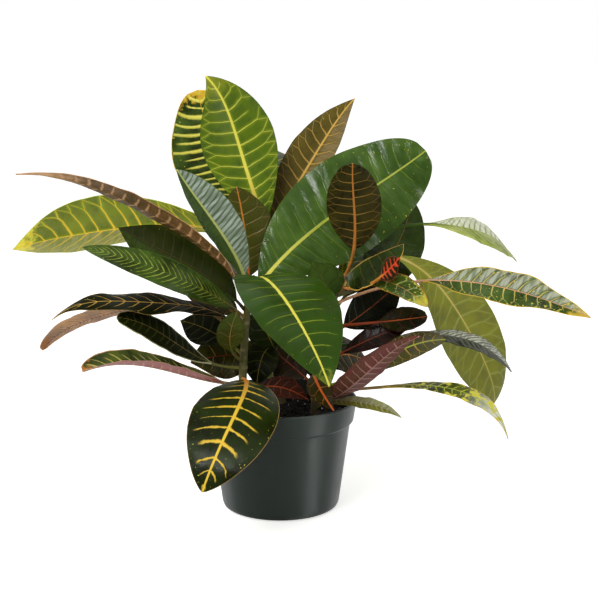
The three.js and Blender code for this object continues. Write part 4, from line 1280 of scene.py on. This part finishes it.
class CROTON_OT_soil(bpy.types.Operator):
    """Fill the pot with potting mix, and strew it with crumbs, bark chips and white grains."""

    bl_idname = "croton.soil"
    bl_label = "Soil"

    def execute(self, context):
        settings = context.scene.croton_soil
        draw = np.random.default_rng(settings.seed)
        edge = RIM_FOOT_RADIUS - POT_WALL - 0.1
        wall = [
            (0, POT_FLOOR + SOIL_GAP), (FOOT_FLAT_RADIUS - 1, POT_FLOOR + SOIL_GAP),
            (FOOT_RADIUS - POT_WALL - SOIL_GAP, FOOT_ROUND_HEIGHT + 1),
            (WALL_TOP_RADIUS - POT_WALL - SOIL_GAP, BAND_FOOT - STEP_HEIGHT), (edge, SOIL_TOP - 1.5),
        ]
        top = [(r, SOIL_TOP) for r in np.linspace(edge, 0, SOIL_RINGS)]
        points, faces = lathe([*wall, *top], SOIL_SIDES)
        loose = points[:, 2] >= SOIL_TOP
        points[loose, 2] = soil_height(points[loose, 0], points[loose, 1])
        dirt = earth_material("potting_mix", settings.colour, 0.35, 0.8, 0.6, 0.75)
        wood = earth_material("bark_chips", settings.chip_colour, 0.4, 0.6, 0.3, 0.7)
        white = earth_material("white_grains", settings.grain_colour, 0.6, 0.5, 0.2, 0.8)
        finish_piece(add_piece("potting_mix", points, faces), "soil", dirt, "soil")
        lump, splinter = lump_shape(2), lump_shape(1)
        strewn = {
            "soil_crumbs": (settings.crumbs, lump, (0.8, 2.3), (0.9, 0.8), 1, dirt),
            "bark_chips": (settings.chips, splinter, (2.5, 5.5), (0.4, 0.22), 4, wood),
            "white_grains": (settings.grains, lump, (0.8, 1.7), (0.95, 0.9), 2, white),
        }
        for name, (count, shape, sizes, flatness, margin, material) in strewn.items():
            lumps = scatter(draw, count, shape, sizes, flatness, edge - margin)
            finish_piece(add_piece(name, *lumps, smooth=shape is lump), "soil", material)
        return {"FINISHED"}


# Stems and leaves


def bark_material(settings):
    material, g, shader = new_material("bark")
    grain = placed_group(g, "Surface Grain", Grain_Size=0.8, Cloud_Size=9.0, Stretch=3.0)
    _, _, z = g.split(g.get("ShaderNodeTexCoord", out="Object"))
    old = g.smooth(z / MM, SOIL_TOP, SOIL_TOP + 70, 1.0, 0.15) * (grain["Clouds"] * 0.6 + 0.5)
    scar = g.get("ShaderNodeAttribute", out="Fac", attribute_name="scar")
    colour = g.mix(old.at_most(1.0), settings.bark, settings.old_bark)
    colour = g.mix(grain["Specks"] * 0.5, colour, settings.scar)
    g.feed(shader["Base Color"], g.mix(scar * 0.8, colour, settings.scar))
    g.feed(shader["Roughness"], grain["Grain"] * 0.2 + 0.55)
    g.feed(shader["Normal"], bumped(g, grain["Grain"], 0.3))
    return material


class CROTON_OT_stems(bpy.types.Operator):
    """Grow the three woody stems with their leaf scars, and the young leaves on each crown."""

    bl_idname = "croton.stems"
    bl_label = "Stems"

    def execute(self, context):
        settings = context.scene.croton_stems
        bark = bark_material(settings)
        angles = np.arange(settings.sides) / settings.sides * 2 * np.pi
        for index, stem in enumerate(STEMS):
            crown = STEMS[stem]["crown"]
            heights = np.append(np.arange(SOIL_TOP - STEM_DEPTH, crown, settings.step), crown)
            bulge = self.scars(heights, angles, crown, index)
            tip = np.clip((crown - heights) / 3, 0, 1) ** 0.5
            rings = []
            for height, lumps, narrow in zip(heights, bulge, tip):
                ridges = [noise.noise(Vector((a * 2.5, height * 0.12, index * 9.0))) for a in angles]
                foot = 1 + 0.35 * math.exp(-((height - SOIL_TOP + 2) / 5) ** 2)
                radius = (stem_radius(stem, height) * foot + 0.7 * lumps + 0.18 * np.array(ridges)) * narrow
                around = [radius * np.cos(angles), radius * np.sin(angles), np.zeros(len(angles))]
                rings.append(np.stack(around, axis=1) + stem_centre(stem, height))
            faces = ring_faces(len(rings), settings.sides)
            piece = add_piece(f"{stem}_stem_bark", np.concatenate(rings), faces)
            scar = piece.data.attributes.new("scar", "FLOAT", "POINT")
            scar.data.foreach_set("value", np.clip(bulge, 0, 1).astype(np.float32).ravel())
            finish_piece(piece, "stem", bark, f"{stem}_stem")
            self.young_leaves(stem, index)
        return {"FINISHED"}

    def scars(self, heights, angles, crown, index):
        """How far the stem bulges at each point for the leaves that it has dropped."""
        bulge = np.zeros((len(heights), len(angles)))
        for k, height in enumerate(np.arange(LEAF_SCARS_FROM, crown - 4, LEAF_SCAR_SPACING)):
            away = np.angle(np.exp(1j * (angles - k * LEAF_TURN - index)))
            rise = np.exp(-(((heights - height) / 1.3) ** 2))
            bulge += rise[:, None] * np.exp(-((away / 0.9) ** 2))[None, :]
        return bulge

    def young_leaves(self, stem, index):
        top = stem_centre(stem, STEMS[stem]["crown"])
        for k, (tip, width) in enumerate(YOUNG_LEAVES[stem]):
            start, end = top + YOUNG_LEAF_BASE, top + tip
            bend = np.array([tip[0], tip[1], 0]) / 6
            row = leaf(
                stem, None, [(start + end) / 2 + bend, end], (-tip[0], -tip[1], 3), width, dict(stalk=4),
                "lemon", spacing=3.0, vein_width=0.2, midrib=0.6, quilt=0.1,
            )
            name, seed = f"{stem}_young_leaf_{k + 1}", YOUNG_LEAF_SEED + 2 * index + k
            add_leaf(name, row, start, f"{stem}_stem", "stem", seed, sunk=1.0)


class CROTON_OT_leaves(bpy.types.Operator):
    """Hang every leaf on its stem, each with its own finish."""

    bl_idname = "croton.leaves"
    bl_label = "Leaves"

    def execute(self, context):
        for index, (name, row) in enumerate({**LEAVES, **INNER_LEAVES}.items()):
            stem, at = row["stem"], row["at"]
            node = f"{name}_leaf" if name in LEAVES else f"{stem}_stem"
            centre = stem_centre(stem, at)
            outward = unit((np.array(row["curve"][0]) - centre) * (1, 1, 0))
            start = centre + outward * (stem_radius(stem, at) + STALK_RADIUS)
            add_leaf(f"{name}_blade", row, start, node, f"leaf_{row['look']}", index)
        return {"FINISHED"}


# Stage


class CROTON_OT_stage(bpy.types.Operator):
    """Set the plain pale floor, the soft light and the camera."""

    bl_idname = "croton.stage"
    bl_label = "Stage"

    def execute(self, context):
        settings, scene = context.scene.croton_stage, context.scene
        self.floor(settings)
        scene.world = self.surround(settings)
        for name, (place, size, dark_to) in LIGHTS.items():
            lamp = self.panel(f"{name}_light", place, size, getattr(settings, f"{name}_power"))
            if dark_to:
                setattr(lamp, dark_to, False)
        lens = bpy.data.cameras.new("camera")
        lens.lens = settings.focal_pixels / PICTURE_SIDE * lens.sensor_width
        camera = bpy.data.objects.new("camera", lens)
        camera.location = settings.camera_place
        camera.rotation_euler = (math.pi / 2 - settings.camera_pitch, 0, 0)
        scene.collection.objects.link(camera)
        scene.camera = camera
        scene.view_settings.view_transform = "Standard"
        return {"FINISHED"}

    def floor(self, settings):
        """A wide pale floor. The camera sees it near white, and the light finds it a little darker."""
        bpy.ops.mesh.primitive_circle_add(vertices=96, radius=FLOOR_RADIUS, fill_type="NGON")
        floor = bpy.context.object
        floor.name = "floor"
        paint, g, shader = new_material("floor_paint")
        by_camera = g.get("ShaderNodeLightPath", out="Is Camera Ray")
        bounce, dark = [settings.bounce] * 3 + [1.0], (0.0, 0.0, 0.0, 1.0)
        g.feed(shader["Base Color"], g.mix(by_camera, bounce, settings.floor))
        g.feed(shader["Emission Color"], g.mix(by_camera, dark, settings.floor))
        g.feed(shader["Emission Strength"], settings.floor_glow)
        g.feed(shader["Roughness"], 0.8)
        g.feed(shader["Specular IOR Level"], 0.1)
        floor.data.materials.append(paint)
        floor.visible_glossy = False

    def surround(self, settings):
        """Light from all round: bright behind and above, dim in front. The camera sees it as plain white."""
        world = bpy.data.worlds.new("surround")
        world.use_nodes = True
        nodes, g = world.node_tree.nodes, Graph(world.node_tree)
        x, y, z = g.split(g.get("ShaderNodeTexCoord", out="Generated"))
        behind = g.smooth(y, 0.05, 0.6, settings.front_strength, settings.sky_strength)
        above = g.smooth(z, 0.1, 0.9, 0.0, settings.top_strength)
        off = abs(g.math("ARCTAN2", x, y * -1.0) - STRIP_BEARING)
        strip = g.fall(off, 0.03, 0.15) * g.smooth(z, -0.3, 0.0, settings.low_strength, 0.0)
        lit = nodes["Background"]
        g.feed(lit.inputs["Color"], settings.sky)
        g.feed(lit.inputs["Strength"], behind.at_least(above).at_least(strip))
        seen = g.get("ShaderNodeBackground", (1.0, 1.0, 1.0, 1.0), 1.0)
        by_camera = g.get("ShaderNodeLightPath", out="Is Camera Ray")
        both = g.get("ShaderNodeMixShader", by_camera, Value(g, lit.outputs[0]), seen)
        g.feed(nodes["World Output"].inputs["Surface"], both)
        return world

    def panel(self, name, place, size, power):
        """A soft rectangular light that faces the plant."""
        light = bpy.data.lights.new(name, "AREA")
        light.shape = "RECTANGLE"
        light.size, light.size_y = size
        light.energy = power
        lamp = bpy.data.objects.new(name, light)
        lamp.location = place
        lamp.rotation_euler = (AIM - Vector(place)).to_track_quat("-Z", "Y").to_euler()
        bpy.context.scene.collection.objects.link(lamp)
        return lamp


class CROTON_PT_panel(bpy.types.Panel):
    """Lists the pieces of the plant and their settings."""

    bl_label = "Potted Croton"
    bl_idname = "CROTON_PT_panel"
    bl_space_type = "VIEW_3D"
    bl_region_type = "UI"
    bl_category = "Croton"

    def draw(self, context):
        for name, (operator, _) in PARTS.items():
            box = self.layout.box()
            box.operator(operator.bl_idname)
            group = getattr(context.scene, name)
            for key in group.bl_rna.properties.keys():
                if key not in ("rna_type", "name"):
                    box.prop(group, key)


PARTS = {
    "croton_stage": (CROTON_OT_stage, CrotonStageSettings),
    "croton_pot": (CROTON_OT_pot, CrotonPotSettings),
    "croton_soil": (CROTON_OT_soil, CrotonSoilSettings),
    "croton_stems": (CROTON_OT_stems, CrotonStemSettings),
    "croton_leaves": (CROTON_OT_leaves, CrotonLeafSettings),
}
CLASSES = [cls for pair in PARTS.values() for cls in pair] + [CROTON_PT_panel]


def register():
    for cls in CLASSES:
        bpy.utils.register_class(cls)
    for name, (_, settings) in PARTS.items():
        setattr(bpy.types.Scene, name, bpy.props.PointerProperty(type=settings))


def unregister():
    for name in PARTS:
        delattr(bpy.types.Scene, name)
    for cls in reversed(CLASSES):
        bpy.utils.unregister_class(cls)


def main():
    register()
    bpy.ops.croton.stage()
    bpy.ops.croton.pot()
    bpy.ops.croton.soil()
    bpy.ops.croton.stems()
    bpy.ops.croton.leaves()
    bpy.context.view_layer.update()


if __name__ == "__main__":
    main()
